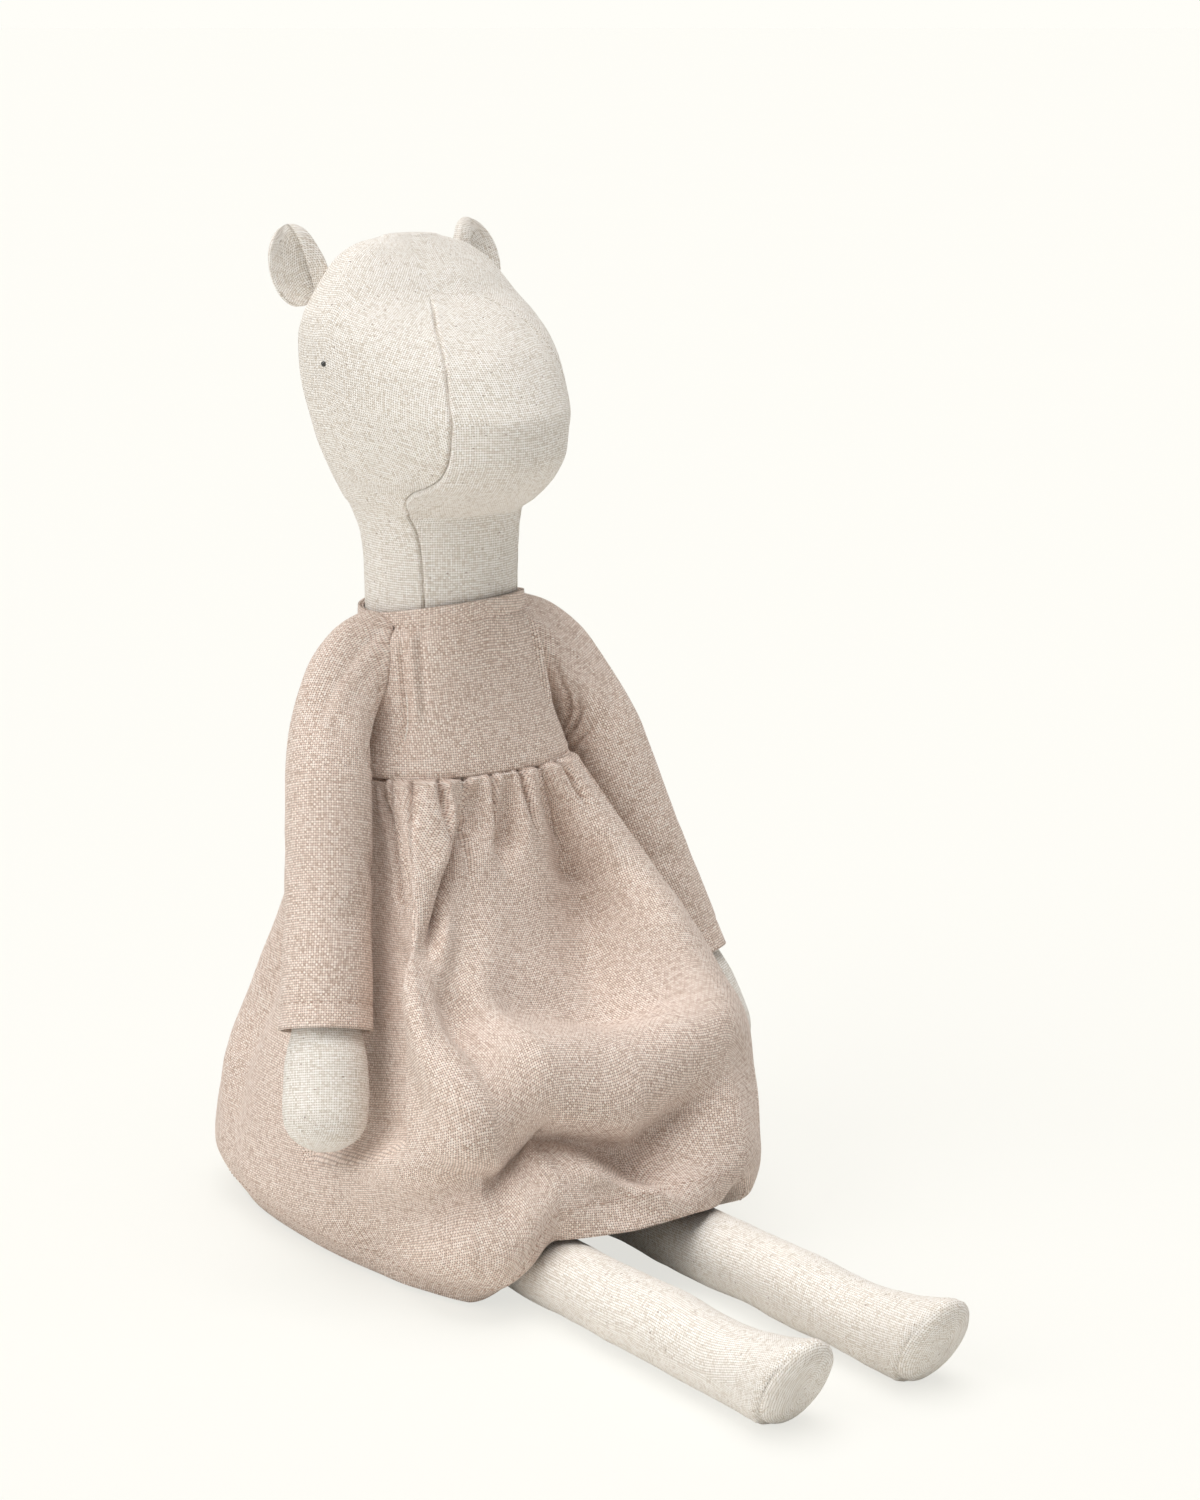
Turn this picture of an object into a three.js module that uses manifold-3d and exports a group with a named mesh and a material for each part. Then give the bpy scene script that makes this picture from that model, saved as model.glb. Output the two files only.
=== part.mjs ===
// A sewn linen doll of a hippopotamus, seated, in a long-sleeved dress with a gathered skirt.
// Millimetres, +Z up. The doll faces -Y and its left side is +X.
// The origin is on the flat of the seat, midway between the doll's sides.
import * as THREE from "three";
import Module from "manifold-3d";
import { mergeVertices } from "three/addons/utils/BufferGeometryUtils.js";

const wasm = await Module();
wasm.setup();

// Cloth and clearances
const CLOTH = 0.8; // one layer of linen with its nap
const GAP = 0.3; // between pieces that touch
const DRESS_EASE = 0.7; // between the stuffed body and the dress

// Stuffed body
const TORSO_HEIGHT = 184; // seat to the neck seam
const HIP_HALF_WIDTH = 39;
const WAIST_HALF_WIDTH = 34;
const CHEST_HALF_WIDTH = 29;
const BELLY_REACH = 35.5; // forward of the origin
const SEAT_REACH = 28; // behind the origin
const BODY_MIDDLE = -6.5; // where the body is widest, along Y
const NECK_RADIUS = 22.6;
const NECK_LENGTH = 31; // neck seam to the chin
const HEAD_HEIGHT = 80; // chin to crown
const HEAD_HALF_WIDTH = 38;
const MUZZLE_REACH = 54; // forward of the origin
const NAPE_REACH = 33; // behind the origin
const CROWN_BACK = 8; // the top of the head, behind the origin
const EAR_HEIGHT = 24;
const EAR_HALF_WIDTH = 12.5;
const EAR_SINK = 2.3; // how far the ear's foot is set into the head's outline
const EAR_UP = 0.75; // the ear's foot, as a share of the way from chin to crown
const EAR_BEHIND = 12; // the ear's foot, behind the top of the head
const EYE_RADIUS = 0.8;
const EYE_UP = 0.554; // as a share of the way from chin to crown
const EYE_AHEAD = 4.2; // forward of the origin

// Limbs
const SHOULDER_DROP = 14; // neck seam to the shoulder hinge
const SHOULDER_Y = -12;
const ARM_LENGTH = 137.5; // shoulder hinge to the tip of the hand
const ARM_RADIUS = 9.8;
const HAND_HALF_WIDTH = 13;
const HAND_HALF_THICKNESS = 12;
const ARM_OUT = THREE.MathUtils.degToRad(12.4);
const ARM_LEAN = THREE.MathUtils.degToRad(18);
const SHOULDER_SEAM_RADIUS = 6;
const LEG_LENGTH = 175; // hip seam to the middle of the sole
const LEG_RADIUS = 10.5;
const LEG_SPACING = 47; // between the middles of the legs
const REST_FLAT = 0.5; // depth of the flat where the legs lie
const FOOT_HALF_HEIGHT = 15.4; // half the length of the sole
const FOOT_TILT = THREE.MathUtils.degToRad(29);
const SOLE_CROWN = 2.6; // how far the stuffed sole stands out
const SOLE_SET = 0.7; // from the end of the leg to the edge of the sole
const HIP_AHEAD = 31; // hip seam, forward of the origin
const HIP_SEAM_RADIUS = 1.1;

// Dress
const BODICE_LENGTH = 48; // neckline to waist seam
const NECKLINE_RISE = 5; // neckline above the neck seam
const ARMHOLE_HALF_DEPTH = 13;
const ARMHOLE_HALF_HEIGHT = 15.5;
const ARMHOLE_UP = 2; // its middle above and behind the shoulder hinge
const SLEEVE_CAP = 32; // shoulder hinge to where the sleeve runs straight
const SLEEVE_LENGTH = 103; // shoulder hinge to the cuff
const SLEEVE_RADIUS = 12.6;
const CUFF_RADIUS = 13.4;
const SKIRT_FRONT_REACH = 113; // hem, forward of the origin
const SKIRT_BACK_REACH = 70; // behind the origin
const SKIRT_HALF_WIDTH = 62;
const GATHER_DEPTH = 0.8;
const FOLD_DEPTH = 1.7;
const GATHERS_AROUND = 18;
const FOLDS_AROUND = 9;
const HEM_LIFT = 1; // hem above the surface that the doll sits on
const HEM_CLEAR = 1.6; // hem above the legs
const BUTTON_RADIUS = 4;
const BUTTON_THICKNESS = 1.8;
const BUTTON_DROP = 6; // neckline to the middle of the button
const LOOP_WIRE = 0.5; // radius of the button loop's cord

// Places that follow from the sizes above
const CHIN_Z = TORSO_HEIGHT + NECK_LENGTH;
const SHOULDER_Z = TORSO_HEIGHT - SHOULDER_DROP;
const NECKLINE_Z = TORSO_HEIGHT + NECKLINE_RISE;
const WAIST_Z = NECKLINE_Z - BODICE_LENGTH;
const HIP_Z = LEG_RADIUS - REST_FLAT;
const ARMHOLE_Y = SHOULDER_Y + ARMHOLE_UP;
const ARMHOLE_Z = SHOULDER_Z + ARMHOLE_UP;

// Surfaces: points and outward triangles

// A smooth curve through [place, value] pairs that never overshoots them.
function smooth(pairs) {
  const slopes = [];
  for (let i = 0; i + 1 < pairs.length; i += 1) {
    slopes.push((pairs[i + 1][1] - pairs[i][1]) / (pairs[i + 1][0] - pairs[i][0]));
  }
  const tangents = pairs.map((pair, i) => {
    const before = slopes[Math.max(i - 1, 0)];
    const after = slopes[Math.min(i, slopes.length - 1)];
    return before * after > 0 ? (2 * before * after) / (before + after) : 0;
  });
  return (place) => {
    const last = pairs.length - 2;
    const next = pairs.findIndex((pair) => pair[0] > place);
    const i = next < 0 ? last : Math.min(Math.max(next - 1, 0), last);
    const span = pairs[i + 1][0] - pairs[i][0];
    const t = THREE.MathUtils.clamp((place - pairs[i][0]) / span, 0, 1);
    const ease = t * t * (3 - 2 * t);
    const bend = tangents[i] * t * (1 - t) ** 2 - tangents[i + 1] * t * t * (1 - t);
    return pairs[i][1] + (pairs[i + 1][1] - pairs[i][1]) * ease + span * bend;
  };
}

// One point of a level oval. The turn starts at the front and goes by the left side.
function ovalPoint(oval, turn) {
  const side = Math.sin(turn);
  const ahead = Math.cos(turn);
  const reach = ahead > 0 ? oval.front : oval.back;
  const power = 2 / (ahead > 0 ? oval.square : 2);
  return new THREE.Vector3(
    oval.halfWidth * Math.sign(side) * Math.abs(side) ** power,
    oval.middle - reach * Math.sign(ahead) * Math.abs(ahead) ** power,
    oval.z,
  );
}

// Half the width of a level oval at one place along Y.
function ovalSide(oval, y) {
  const ahead = y < oval.middle;
  const share = Math.abs(y - oval.middle) / (ahead ? oval.front : oval.back);
  const power = ahead ? oval.square : 2;
  return oval.halfWidth * (1 - Math.min(share, 1) ** power) ** (1 / power);
}

function ovalRing(oval, count) {
  const turns = Array.from({ length: count }, (unused, i) => (2 * Math.PI * i) / count);
  return turns.map((turn) => ovalPoint(oval, turn));
}

// A ring about a centre, square to the way the tube runs, with one half size along each axis.
function tubeRing(centre, across, up, halfAcross, halfUp, count) {
  const ring = [];
  for (let i = 0; i < count; i += 1) {
    const turn = (2 * Math.PI * i) / count;
    const point = centre.clone();
    point.addScaledVector(across, halfAcross * Math.cos(turn));
    point.addScaledVector(up, halfUp * Math.sin(turn));
    ring.push(point);
  }
  return ring;
}

// Rows of points joined into a surface. A wrapped surface closes on itself along each row.
function gridSurface(rows, wrap) {
  const columns = rows[0].length;
  const faces = [];
  for (let r = 0; r + 1 < rows.length; r += 1) {
    for (let c = 0; c < (wrap ? columns : columns - 1); c += 1) {
      const a = r * columns + c;
      const b = r * columns + ((c + 1) % columns);
      faces.push([a, b, b + columns], [a, b + columns, a + columns]);
    }
  }
  return { points: rows.flat(), faces };
}

// A tube of rings, closed by a fan at each end that has a pole.
function tubeSurface(rings, { startPole, endPole }) {
  const surface = gridSurface(rings, true);
  const count = rings[0].length;
  const lastRing = (rings.length - 1) * count;
  if (startPole) {
    const pole = surface.points.push(startPole) - 1;
    for (let c = 0; c < count; c += 1) surface.faces.push([pole, (c + 1) % count, c]);
  }
  if (endPole) {
    const pole = surface.points.push(endPole) - 1;
    for (let c = 0; c < count; c += 1) {
      surface.faces.push([pole, lastRing + c, lastRing + ((c + 1) % count)]);
    }
  }
  return surface;
}

function geometryOf({ points, faces }) {
  const geometry = new THREE.BufferGeometry().setFromPoints(points);
  geometry.setIndex(faces.flat());
  return geometry;
}

function pointNormals(surface) {
  const geometry = geometryOf(surface);
  geometry.computeVertexNormals();
  const normals = geometry.getAttribute("normal");
  return surface.points.map((point, i) => new THREE.Vector3().fromBufferAttribute(normals, i));
}

// The surface moved inwards by a distance, or outwards by a negative one.
function inset(surface, distance) {
  const normals = pointNormals(surface);
  const points = surface.points.map((p, i) => p.clone().addScaledVector(normals[i], -distance));
  return { points, faces: surface.faces };
}

// Each open edge of a surface, as pairs of points in the order that its triangle has them.
function openEdges({ faces }) {
  const edges = new Map();
  for (const [a, b, c] of faces) {
    for (const [from, to] of [[a, b], [b, c], [c, a]]) edges.set(`${from},${to}`, [from, to]);
  }
  return [...edges.values()].filter(([from, to]) => !edges.has(`${to},${from}`));
}

// The surface as a wall: its own face outside, a second face one thickness inside, closed edges.
function wall(surface, thickness) {
  const inner = inset(surface, thickness);
  const count = surface.points.length;
  const faces = [...surface.faces];
  for (const [a, b, c] of surface.faces) faces.push([count + a, count + c, count + b]);
  for (const [a, b] of openEdges(surface)) {
    faces.push([b, a, count + a], [b, count + a, count + b]);
  }
  return { points: [...surface.points, ...inner.points], faces };
}

// The surface with each open end closed by a fan to the middle of that end.
function capped(surface) {
  const points = [...surface.points];
  const faces = [...surface.faces];
  const next = new Map(openEdges(surface));
  while (next.size) {
    const loop = [next.keys().next().value];
    while (next.get(loop.at(-1)) !== loop[0]) loop.push(next.get(loop.at(-1)));
    const middle = new THREE.Vector3();
    for (const i of loop) middle.addScaledVector(points[i], 1 / loop.length);
    const pole = points.push(middle) - 1;
    loop.forEach((from, i) => faces.push([pole, loop[(i + 1) % loop.length], from]));
    for (const from of loop) next.delete(from);
  }
  return { points, faces };
}

// What fills a cover, and the space that its neighbours keep out of
function fillingOf(skin) {
  return geometryOf(capped(inset(skin, CLOTH + GAP)));
}

function clearOf(skin) {
  return geometryOf(capped(inset(skin, -GAP)));
}

function mirrored({ points, faces }) {
  return {
    points: points.map((p) => new THREE.Vector3(-p.x, p.y, p.z)),
    faces: faces.map(([a, b, c]) => [a, c, b]),
  };
}

// Cuts and joins of closed solids

function solidOf(geometry) {
  const bare = geometry.clone();
  bare.deleteAttribute("normal");
  bare.deleteAttribute("uv");
  const merged = mergeVertices(bare, 1e-4);
  const vertProperties = new Float32Array(merged.getAttribute("position").array);
  const triVerts = new Uint32Array(merged.getIndex().array);
  return new wasm.Manifold(new wasm.Mesh({ numProp: 3, vertProperties, triVerts }));
}

function geometryFromSolid(solid) {
  const mesh = solid.getMesh();
  const geometry = new THREE.BufferGeometry();
  geometry.setAttribute("position", new THREE.BufferAttribute(mesh.vertProperties, 3));
  geometry.setIndex(new THREE.BufferAttribute(mesh.triVerts, 1));
  return geometry;
}

function cutAway(geometry, ...tools) {
  let solid = solidOf(geometry);
  for (const tool of tools) solid = solid.subtract(solidOf(tool));
  return geometryFromSolid(solid);
}

// Materials

function cloth(colour) {
  return new THREE.MeshStandardMaterial({ color: colour, roughness: 0.95, metalness: 0 });
}

const NATURAL_LINEN = "#e3ddd1";
const PINK_LINEN = "#cfb4a5";
const materials = {
  skin: () => cloth(NATURAL_LINEN),
  dress: () => cloth(PINK_LINEN),
  filling: () => cloth("#f4f3ee"),
  thread: () => cloth("#ddd3c4"),
  bead: () => new THREE.MeshStandardMaterial({ color: "#0c0b0b", roughness: 0.2, metalness: 0 }),
  wood: () => new THREE.MeshStandardMaterial({ color: "#c08a55", roughness: 0.6, metalness: 0 }),
};

const doll = new THREE.Group();

function addPiece(name, geometry, material, parent = doll) {
  const mesh = new THREE.Mesh(geometry, material());
  mesh.name = name;
  parent.add(mesh);
}

// Torso: a stuffed bag with a flat seat, drawn in to the hip seam at its lower front edge
const TORSO_POINTS = 20;
const hipEdge = HIP_AHEAD - HIP_SEAM_RADIUS - GAP;
const torsoFront = smooth([
  [0, hipEdge - 19],
  [HIP_Z, hipEdge],
  [HIP_Z + 35, BELLY_REACH],
  [WAIST_Z, BELLY_REACH + 0.5],
  [SHOULDER_Z, NECK_RADIUS - BODY_MIDDLE + 1.5],
  [TORSO_HEIGHT, NECK_RADIUS - BODY_MIDDLE],
]);
const torsoBack = smooth([
  [0, SEAT_REACH - 6],
  [HIP_Z, SEAT_REACH],
  [HIP_Z + 35, SEAT_REACH + 1],
  [WAIST_Z, SEAT_REACH - 8],
  [SHOULDER_Z, NECK_RADIUS + BODY_MIDDLE - 2],
  [TORSO_HEIGHT, NECK_RADIUS + BODY_MIDDLE],
]);
const torsoHalfWidth = smooth([
  [0, HIP_HALF_WIDTH - 7],
  [HIP_Z, HIP_HALF_WIDTH - 1],
  [HIP_Z + 25, HIP_HALF_WIDTH],
  [WAIST_Z, WAIST_HALF_WIDTH],
  [SHOULDER_Z - SLEEVE_RADIUS, CHEST_HALF_WIDTH + 0.5],
  [SHOULDER_Z, CHEST_HALF_WIDTH],
  [TORSO_HEIGHT - 5, NECK_RADIUS + 4.5],
  [TORSO_HEIGHT, NECK_RADIUS],
]);
const torsoSquare = smooth([[0, 3.2], [WAIST_Z, 3], [SHOULDER_Z, 2.5], [TORSO_HEIGHT, 2]]);

function torsoOval(z, ease = 0) {
  return {
    z,
    front: torsoFront(z) + BODY_MIDDLE + ease,
    back: torsoBack(z) - BODY_MIDDLE + ease,
    halfWidth: torsoHalfWidth(z) + ease,
    middle: BODY_MIDDLE,
    square: torsoSquare(z),
  };
}

// The dress's bodice follows the torso, with room for a neck facing inside the neckline.
const neckEase = 2 * (GAP + CLOTH);

function bodiceOval(z) {
  return z < TORSO_HEIGHT ? torsoOval(z, DRESS_EASE + CLOTH) : torsoOval(TORSO_HEIGHT, neckEase);
}

const torsoHeights = [
  0, HIP_Z * 0.45, HIP_Z, HIP_Z + 12, HIP_Z + 35, (HIP_Z + 35 + WAIST_Z) / 2, WAIST_Z,
  SHOULDER_Z - SLEEVE_RADIUS, SHOULDER_Z, TORSO_HEIGHT - 5, TORSO_HEIGHT,
];
const torsoRings = torsoHeights.map((z) => ovalRing(torsoOval(z), TORSO_POINTS));
const seatPole = new THREE.Vector3(0, 0, 0);
const torsoSkin = tubeSurface(torsoRings, { startPole: seatPole });
addPiece("torso_cover", geometryOf(wall(torsoSkin, CLOTH)), materials.skin);
addPiece("torso_filling", fillingOf(torsoSkin), materials.filling);

// Head and neck: one cover, with a broad muzzle that overhangs the neck
const HEAD_POINTS = 28;
const crownZ = CHIN_Z + HEAD_HEIGHT;
const neckReach = NECK_RADIUS - BODY_MIDDLE;
// Each row: height above the chin as a share of the head, then how far the outline has gone from
// the neck's to its fullest.
const headStations = [
  { up: -0.09, front: 0, back: 0.17, side: 0.03 },
  { up: 0, front: 0, back: 0.38, side: 0.14 },
  { up: 0.025, front: 0.15, back: 0.41, side: 0.2 },
  { up: 0.05, front: 0.33, back: 0.47, side: 0.29 },
  { up: 0.1, front: 0.6, back: 0.53, side: 0.4 },
  { up: 0.15, front: 0.78, back: 0.55, side: 0.52 },
  { up: 0.25, front: 0.95, back: 0.65, side: 0.71 },
  { up: 0.35, front: 0.96, back: 0.74, side: 0.84 },
  { up: 0.45, front: 0.79, back: 0.86, side: 0.95 },
  { up: 0.55, front: 0.55, back: 0.96, side: 1 },
  { up: 0.63, front: 0.26, back: 1, side: 0.99 },
  { up: 0.7, front: -0.09, back: 0.96, side: 0.9 },
  { up: 0.775, front: -0.47, back: 0.88, side: 0.69 },
  { up: 0.85, front: -0.75, back: 0.73, side: 0.42 },
  { up: 0.915, front: -1.03, back: 0.54, side: 0.12 },
  { up: 0.965, front: -1.21, back: 0.26, side: -0.33 },
  { up: 0.992, front: -1.33, back: -0.12, side: -0.88 },
];
const headSquare = smooth([[0, 2], [0.25, 2.1], [0.6, 2], [1, 2]]);
const headMiddle = smooth([
  [-0.09, BODY_MIDDLE],
  [0.05, BODY_MIDDLE + 2],
  [0.25, 0],
  [0.5, CROWN_BACK / 2],
  [0.85, CROWN_BACK / 2 + 1],
  [1, CROWN_BACK],
]);

function headOval({ up, front, back, side }) {
  const middle = headMiddle(up);
  const neckBackReach = NECK_RADIUS + BODY_MIDDLE;
  return {
    z: CHIN_Z + up * HEAD_HEIGHT,
    front: neckReach + front * (MUZZLE_REACH - neckReach) + middle,
    back: neckBackReach + back * (NAPE_REACH - neckBackReach) - middle,
    halfWidth: NECK_RADIUS + side * (HEAD_HALF_WIDTH - NECK_RADIUS),
    middle,
    square: headSquare(up),
  };
}

function neckOval(z) {
  return {
    z,
    front: NECK_RADIUS,
    back: NECK_RADIUS,
    halfWidth: NECK_RADIUS,
    middle: BODY_MIDDLE,
    square: 2,
  };
}

const neckHeights = [TORSO_HEIGHT + GAP, TORSO_HEIGHT + NECK_LENGTH * 0.45];
const headRings = [
  ...neckHeights.map((z) => ovalRing(neckOval(z), HEAD_POINTS)),
  ...headStations.map((station) => ovalRing(headOval(station), HEAD_POINTS)),
];
const headSkin = tubeSurface(headRings, { endPole: new THREE.Vector3(0, CROWN_BACK, crownZ) });
const headClear = clearOf(headSkin);
addPiece("head_cover", geometryOf(wall(headSkin, CLOTH)), materials.skin);
addPiece("head_filling", fillingOf(headSkin), materials.filling);

// The head's outline at any height, for what is sewn to it
const headAhead = smooth(headStations.map((s) => [s.up, s.front]));
const headBehind = smooth(headStations.map((s) => [s.up, s.back]));
const headAside = smooth(headStations.map((s) => [s.up, s.side]));

function headOvalAt(up) {
  return headOval({ up, front: headAhead(up), back: headBehind(up), side: headAside(up) });
}

// Ears: two layers of linen, cupped forwards, their foot pinched and sewn to the head
const EAR_COLUMNS = 8;
const EAR_ROWS = 7;
const earY = CROWN_BACK + EAR_BEHIND;
const earRoot = new THREE.Vector3(
  ovalSide(headOvalAt(EAR_UP), earY) - EAR_SINK,
  earY,
  CHIN_Z + EAR_UP * HEAD_HEIGHT,
);

function earPoint(across, up) {
  const outline = Math.sqrt(Math.max(1 - (2 * up - 1) ** 2, 0)) * 0.75 + 0.25 * (1 - up);
  const halfWidth = EAR_HALF_WIDTH * outline;
  const curl = EAR_HALF_WIDTH * THREE.MathUtils.lerp(0.5, 0.9, up);
  const turn = (across * halfWidth) / curl;
  return new THREE.Vector3(curl * Math.sin(turn), -curl * (1 - Math.cos(turn)), up * EAR_HEIGHT);
}

const earRows = [];
for (let r = 0; r <= EAR_ROWS; r += 1) {
  const up = (0.97 * r) / EAR_ROWS;
  const row = [];
  for (let c = 0; c <= EAR_COLUMNS; c += 1) row.push(earPoint((2 * c) / EAR_COLUMNS - 1, up));
  earRows.push(row);
}
const earTurn = new THREE.Euler(
  THREE.MathUtils.degToRad(-14),
  THREE.MathUtils.degToRad(14),
  THREE.MathUtils.degToRad(16),
);
for (const row of earRows) {
  for (const point of row) point.applyEuler(earTurn).add(earRoot);
}
const leftEar = wall(gridSurface(earRows, false), 2 * CLOTH);
addPiece("ear_left", cutAway(geometryOf(leftEar), headClear), materials.skin);
addPiece("ear_right", cutAway(geometryOf(mirrored(leftEar)), headClear), materials.skin);

// Eyes: small black beads sewn on to the sides of the head
const eyeSide = ovalSide(headOvalAt(EYE_UP), -EYE_AHEAD);
const eyeZ = CHIN_Z + EYE_UP * HEAD_HEIGHT;
for (const [name, side] of [["eye_left", 1], ["eye_right", -1]]) {
  const bead = new THREE.SphereGeometry(EYE_RADIUS, 12, 8);
  bead.translate(side * (eyeSide + GAP), -EYE_AHEAD, eyeZ);
  addPiece(name, cutAway(bead, headClear), materials.bead);
}

// Arms: mitten-ended tubes, slim at the shoulder, that hang down and lean forwards
const LIMB_POINTS = 14;
const armholeX = torsoHalfWidth(SHOULDER_Z - SLEEVE_RADIUS) + DRESS_EASE + CLOTH + GAP;
const armWay = new THREE.Vector3(Math.sin(ARM_OUT), 0, -Math.cos(ARM_OUT));
const armAcross = new THREE.Vector3(0, 1, 0);
const armUp = armWay.clone().cross(armAcross);
const armRoot = new THREE.Vector3(armholeX + SLEEVE_RADIUS - 1.7, 0, 0);

function armPlace(along) {
  return armRoot.clone().addScaledVector(armWay, along);
}

// Each row: distance along the arm, half width and half thickness.
const armStations = [
  [ARM_RADIUS * 0.1, ARM_RADIUS * 0.3, ARM_RADIUS * 0.3],
  [ARM_RADIUS * 0.36, ARM_RADIUS * 0.55, ARM_RADIUS * 0.5],
  [ARM_RADIUS * 1.02, ARM_RADIUS * 0.8, ARM_RADIUS * 0.68],
  [ARM_RADIUS * 2.65, ARM_RADIUS, ARM_RADIUS * 0.97],
  [ARM_LENGTH * 0.45, ARM_RADIUS * 0.97, ARM_RADIUS * 0.97],
  [ARM_LENGTH - 39, ARM_RADIUS * 0.95, ARM_RADIUS * 0.95],
  [ARM_LENGTH - 24, HAND_HALF_WIDTH * 0.97, HAND_HALF_THICKNESS * 0.97],
  [ARM_LENGTH - 14, HAND_HALF_WIDTH, HAND_HALF_THICKNESS],
  [ARM_LENGTH - 5.5, HAND_HALF_WIDTH * 0.86, HAND_HALF_THICKNESS * 0.86],
  [ARM_LENGTH - 1.2, HAND_HALF_WIDTH * 0.48, HAND_HALF_THICKNESS * 0.48],
];
const armRings = armStations.map(([along, halfWidth, halfThick]) =>
  tubeRing(armPlace(along), armAcross, armUp, halfWidth, halfThick, LIMB_POINTS),
);
const armSkin = tubeSurface(armRings, { endPole: armPlace(ARM_LENGTH) });

// Sleeves: a cap that leaves the bodice along the armhole and bends down into a straight tube
const leanMove = new THREE.Matrix4().makeRotationX(-ARM_LEAN);
leanMove.setPosition(0, SHOULDER_Y, SHOULDER_Z);
const sleeveWay = armWay.clone().transformDirection(leanMove);
const SLEEVE_POINTS = 24;
const CAP_STEPS = 6;
const sleeveRadius = smooth([[0, SLEEVE_RADIUS], [0.5, CUFF_RADIUS - 1], [1, CUFF_RADIUS]]);
const straightRings = [0, 0.25, 0.5, 0.75, 1].map((share) => {
  const centre = armPlace(THREE.MathUtils.lerp(SLEEVE_CAP, SLEEVE_LENGTH, share));
  const radius = sleeveRadius(share);
  const ring = tubeRing(centre, armAcross, armUp, radius, radius, SLEEVE_POINTS);
  return ring.map((point) => point.applyMatrix4(leanMove));
});

// Where the cloth would rest on the bodice, at one place along the body
function onBodice(y, z) {
  return ovalSide(bodiceOval(Math.max(z, WAIST_Z)), y) + GAP;
}

// How steeply the cap leaves the bodice: flat at the shoulder, steep at the front and back
const capSlope = smooth([[-1, 40], [0, 50], [1, 14]]);

function capPoint(i, t) {
  const turn = (2 * Math.PI * i) / SLEEVE_POINTS;
  const start = new THREE.Vector3(
    0,
    ARMHOLE_Y + ARMHOLE_HALF_DEPTH * Math.cos(turn),
    ARMHOLE_Z + ARMHOLE_HALF_HEIGHT * Math.sin(turn),
  );
  start.x = onBodice(start.y, start.z);
  const end = straightRings[0][i];
  const slope = THREE.MathUtils.degToRad(capSlope(Math.sin(turn)));
  const leaving = new THREE.Vector3(Math.cos(slope), 0, 0);
  leaving.addScaledVector(sleeveWay, Math.sin(slope));
  const pull = 1.05 * start.distanceTo(end);
  const point = start.clone().multiplyScalar(2 * t ** 3 - 3 * t ** 2 + 1);
  point.addScaledVector(end, 3 * t ** 2 - 2 * t ** 3);
  point.addScaledVector(leaving, pull * (t ** 3 - 2 * t ** 2 + t));
  point.addScaledVector(sleeveWay, pull * (t ** 3 - t ** 2));
  point.x = Math.max(point.x, onBodice(point.y, point.z) + GAP * Math.min(CAP_STEPS * t, 1));
  return point;
}

const capRings = [];
for (let step = 0; step < CAP_STEPS; step += 1) {
  const ring = straightRings[0].map((point, i) => capPoint(i, step / CAP_STEPS));
  capRings.push(ring);
}
const sleeve = wall(gridSurface([...capRings, ...straightRings], true), CLOTH);

// Shoulder seams: the stitched pads that hold the arms to the torso and let them swing
const torsoClear = clearOf(torsoSkin);
const armInside = armStations.map(([along, , thick]) => armPlace(along).x - thick);
const padEnd = Math.min(...armInside.slice(0, 4)) - GAP;
const sides = [
  { side: "left", turned: (surface) => surface, sign: 1 },
  { side: "right", turned: mirrored, sign: -1 },
];
for (const { side, turned, sign } of sides) {
  const arm = new THREE.Group();
  arm.applyMatrix4(leanMove);
  doll.add(arm);
  const skin = turned(armSkin);
  addPiece(`arm_${side}_cover`, geometryOf(wall(skin, CLOTH)), materials.skin, arm);
  addPiece(`arm_${side}_filling`, fillingOf(skin), materials.filling, arm);
  addPiece(`sleeve_${side}`, geometryOf(turned(sleeve)), materials.dress);
  const padStart = torsoHalfWidth(SHOULDER_Z) - SHOULDER_SEAM_RADIUS;
  const pad = new THREE.CylinderGeometry(
    SHOULDER_SEAM_RADIUS,
    SHOULDER_SEAM_RADIUS,
    padEnd - padStart,
    16,
  );
  pad.rotateZ(Math.PI / 2);
  pad.translate((sign * (padStart + padEnd)) / 2, SHOULDER_Y, SHOULDER_Z);
  addPiece(`shoulder_seam_${side}`, cutAway(pad, torsoClear), materials.thread);
}

// Hip seam: the rolled edge along which both legs are sewn to the torso
const hipSeam = new THREE.CylinderGeometry(
  HIP_SEAM_RADIUS,
  HIP_SEAM_RADIUS,
  LEG_SPACING + 2 * LEG_RADIUS,
  10,
);
hipSeam.rotateZ(Math.PI / 2);
hipSeam.translate(0, -HIP_AHEAD, HIP_Z);
addPiece("hip_seam", hipSeam, materials.thread);

// Legs: tubes pinched flat at the hip seam, with an oval sole sewn into the foot end
const LEG_POINTS = 16;
const legAcross = new THREE.Vector3(1, 0, 0);

function legRing({ along, rise, halfHeight, halfWidth, tilt }) {
  const centre = new THREE.Vector3(LEG_SPACING / 2, -HIP_AHEAD - along, HIP_Z + rise);
  const up = new THREE.Vector3(0, -Math.sin(tilt), Math.cos(tilt));
  const ring = tubeRing(centre, legAcross, up, halfWidth, halfHeight, LEG_POINTS);
  for (const point of ring) point.z = Math.max(point.z, 0);
  return ring;
}

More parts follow.
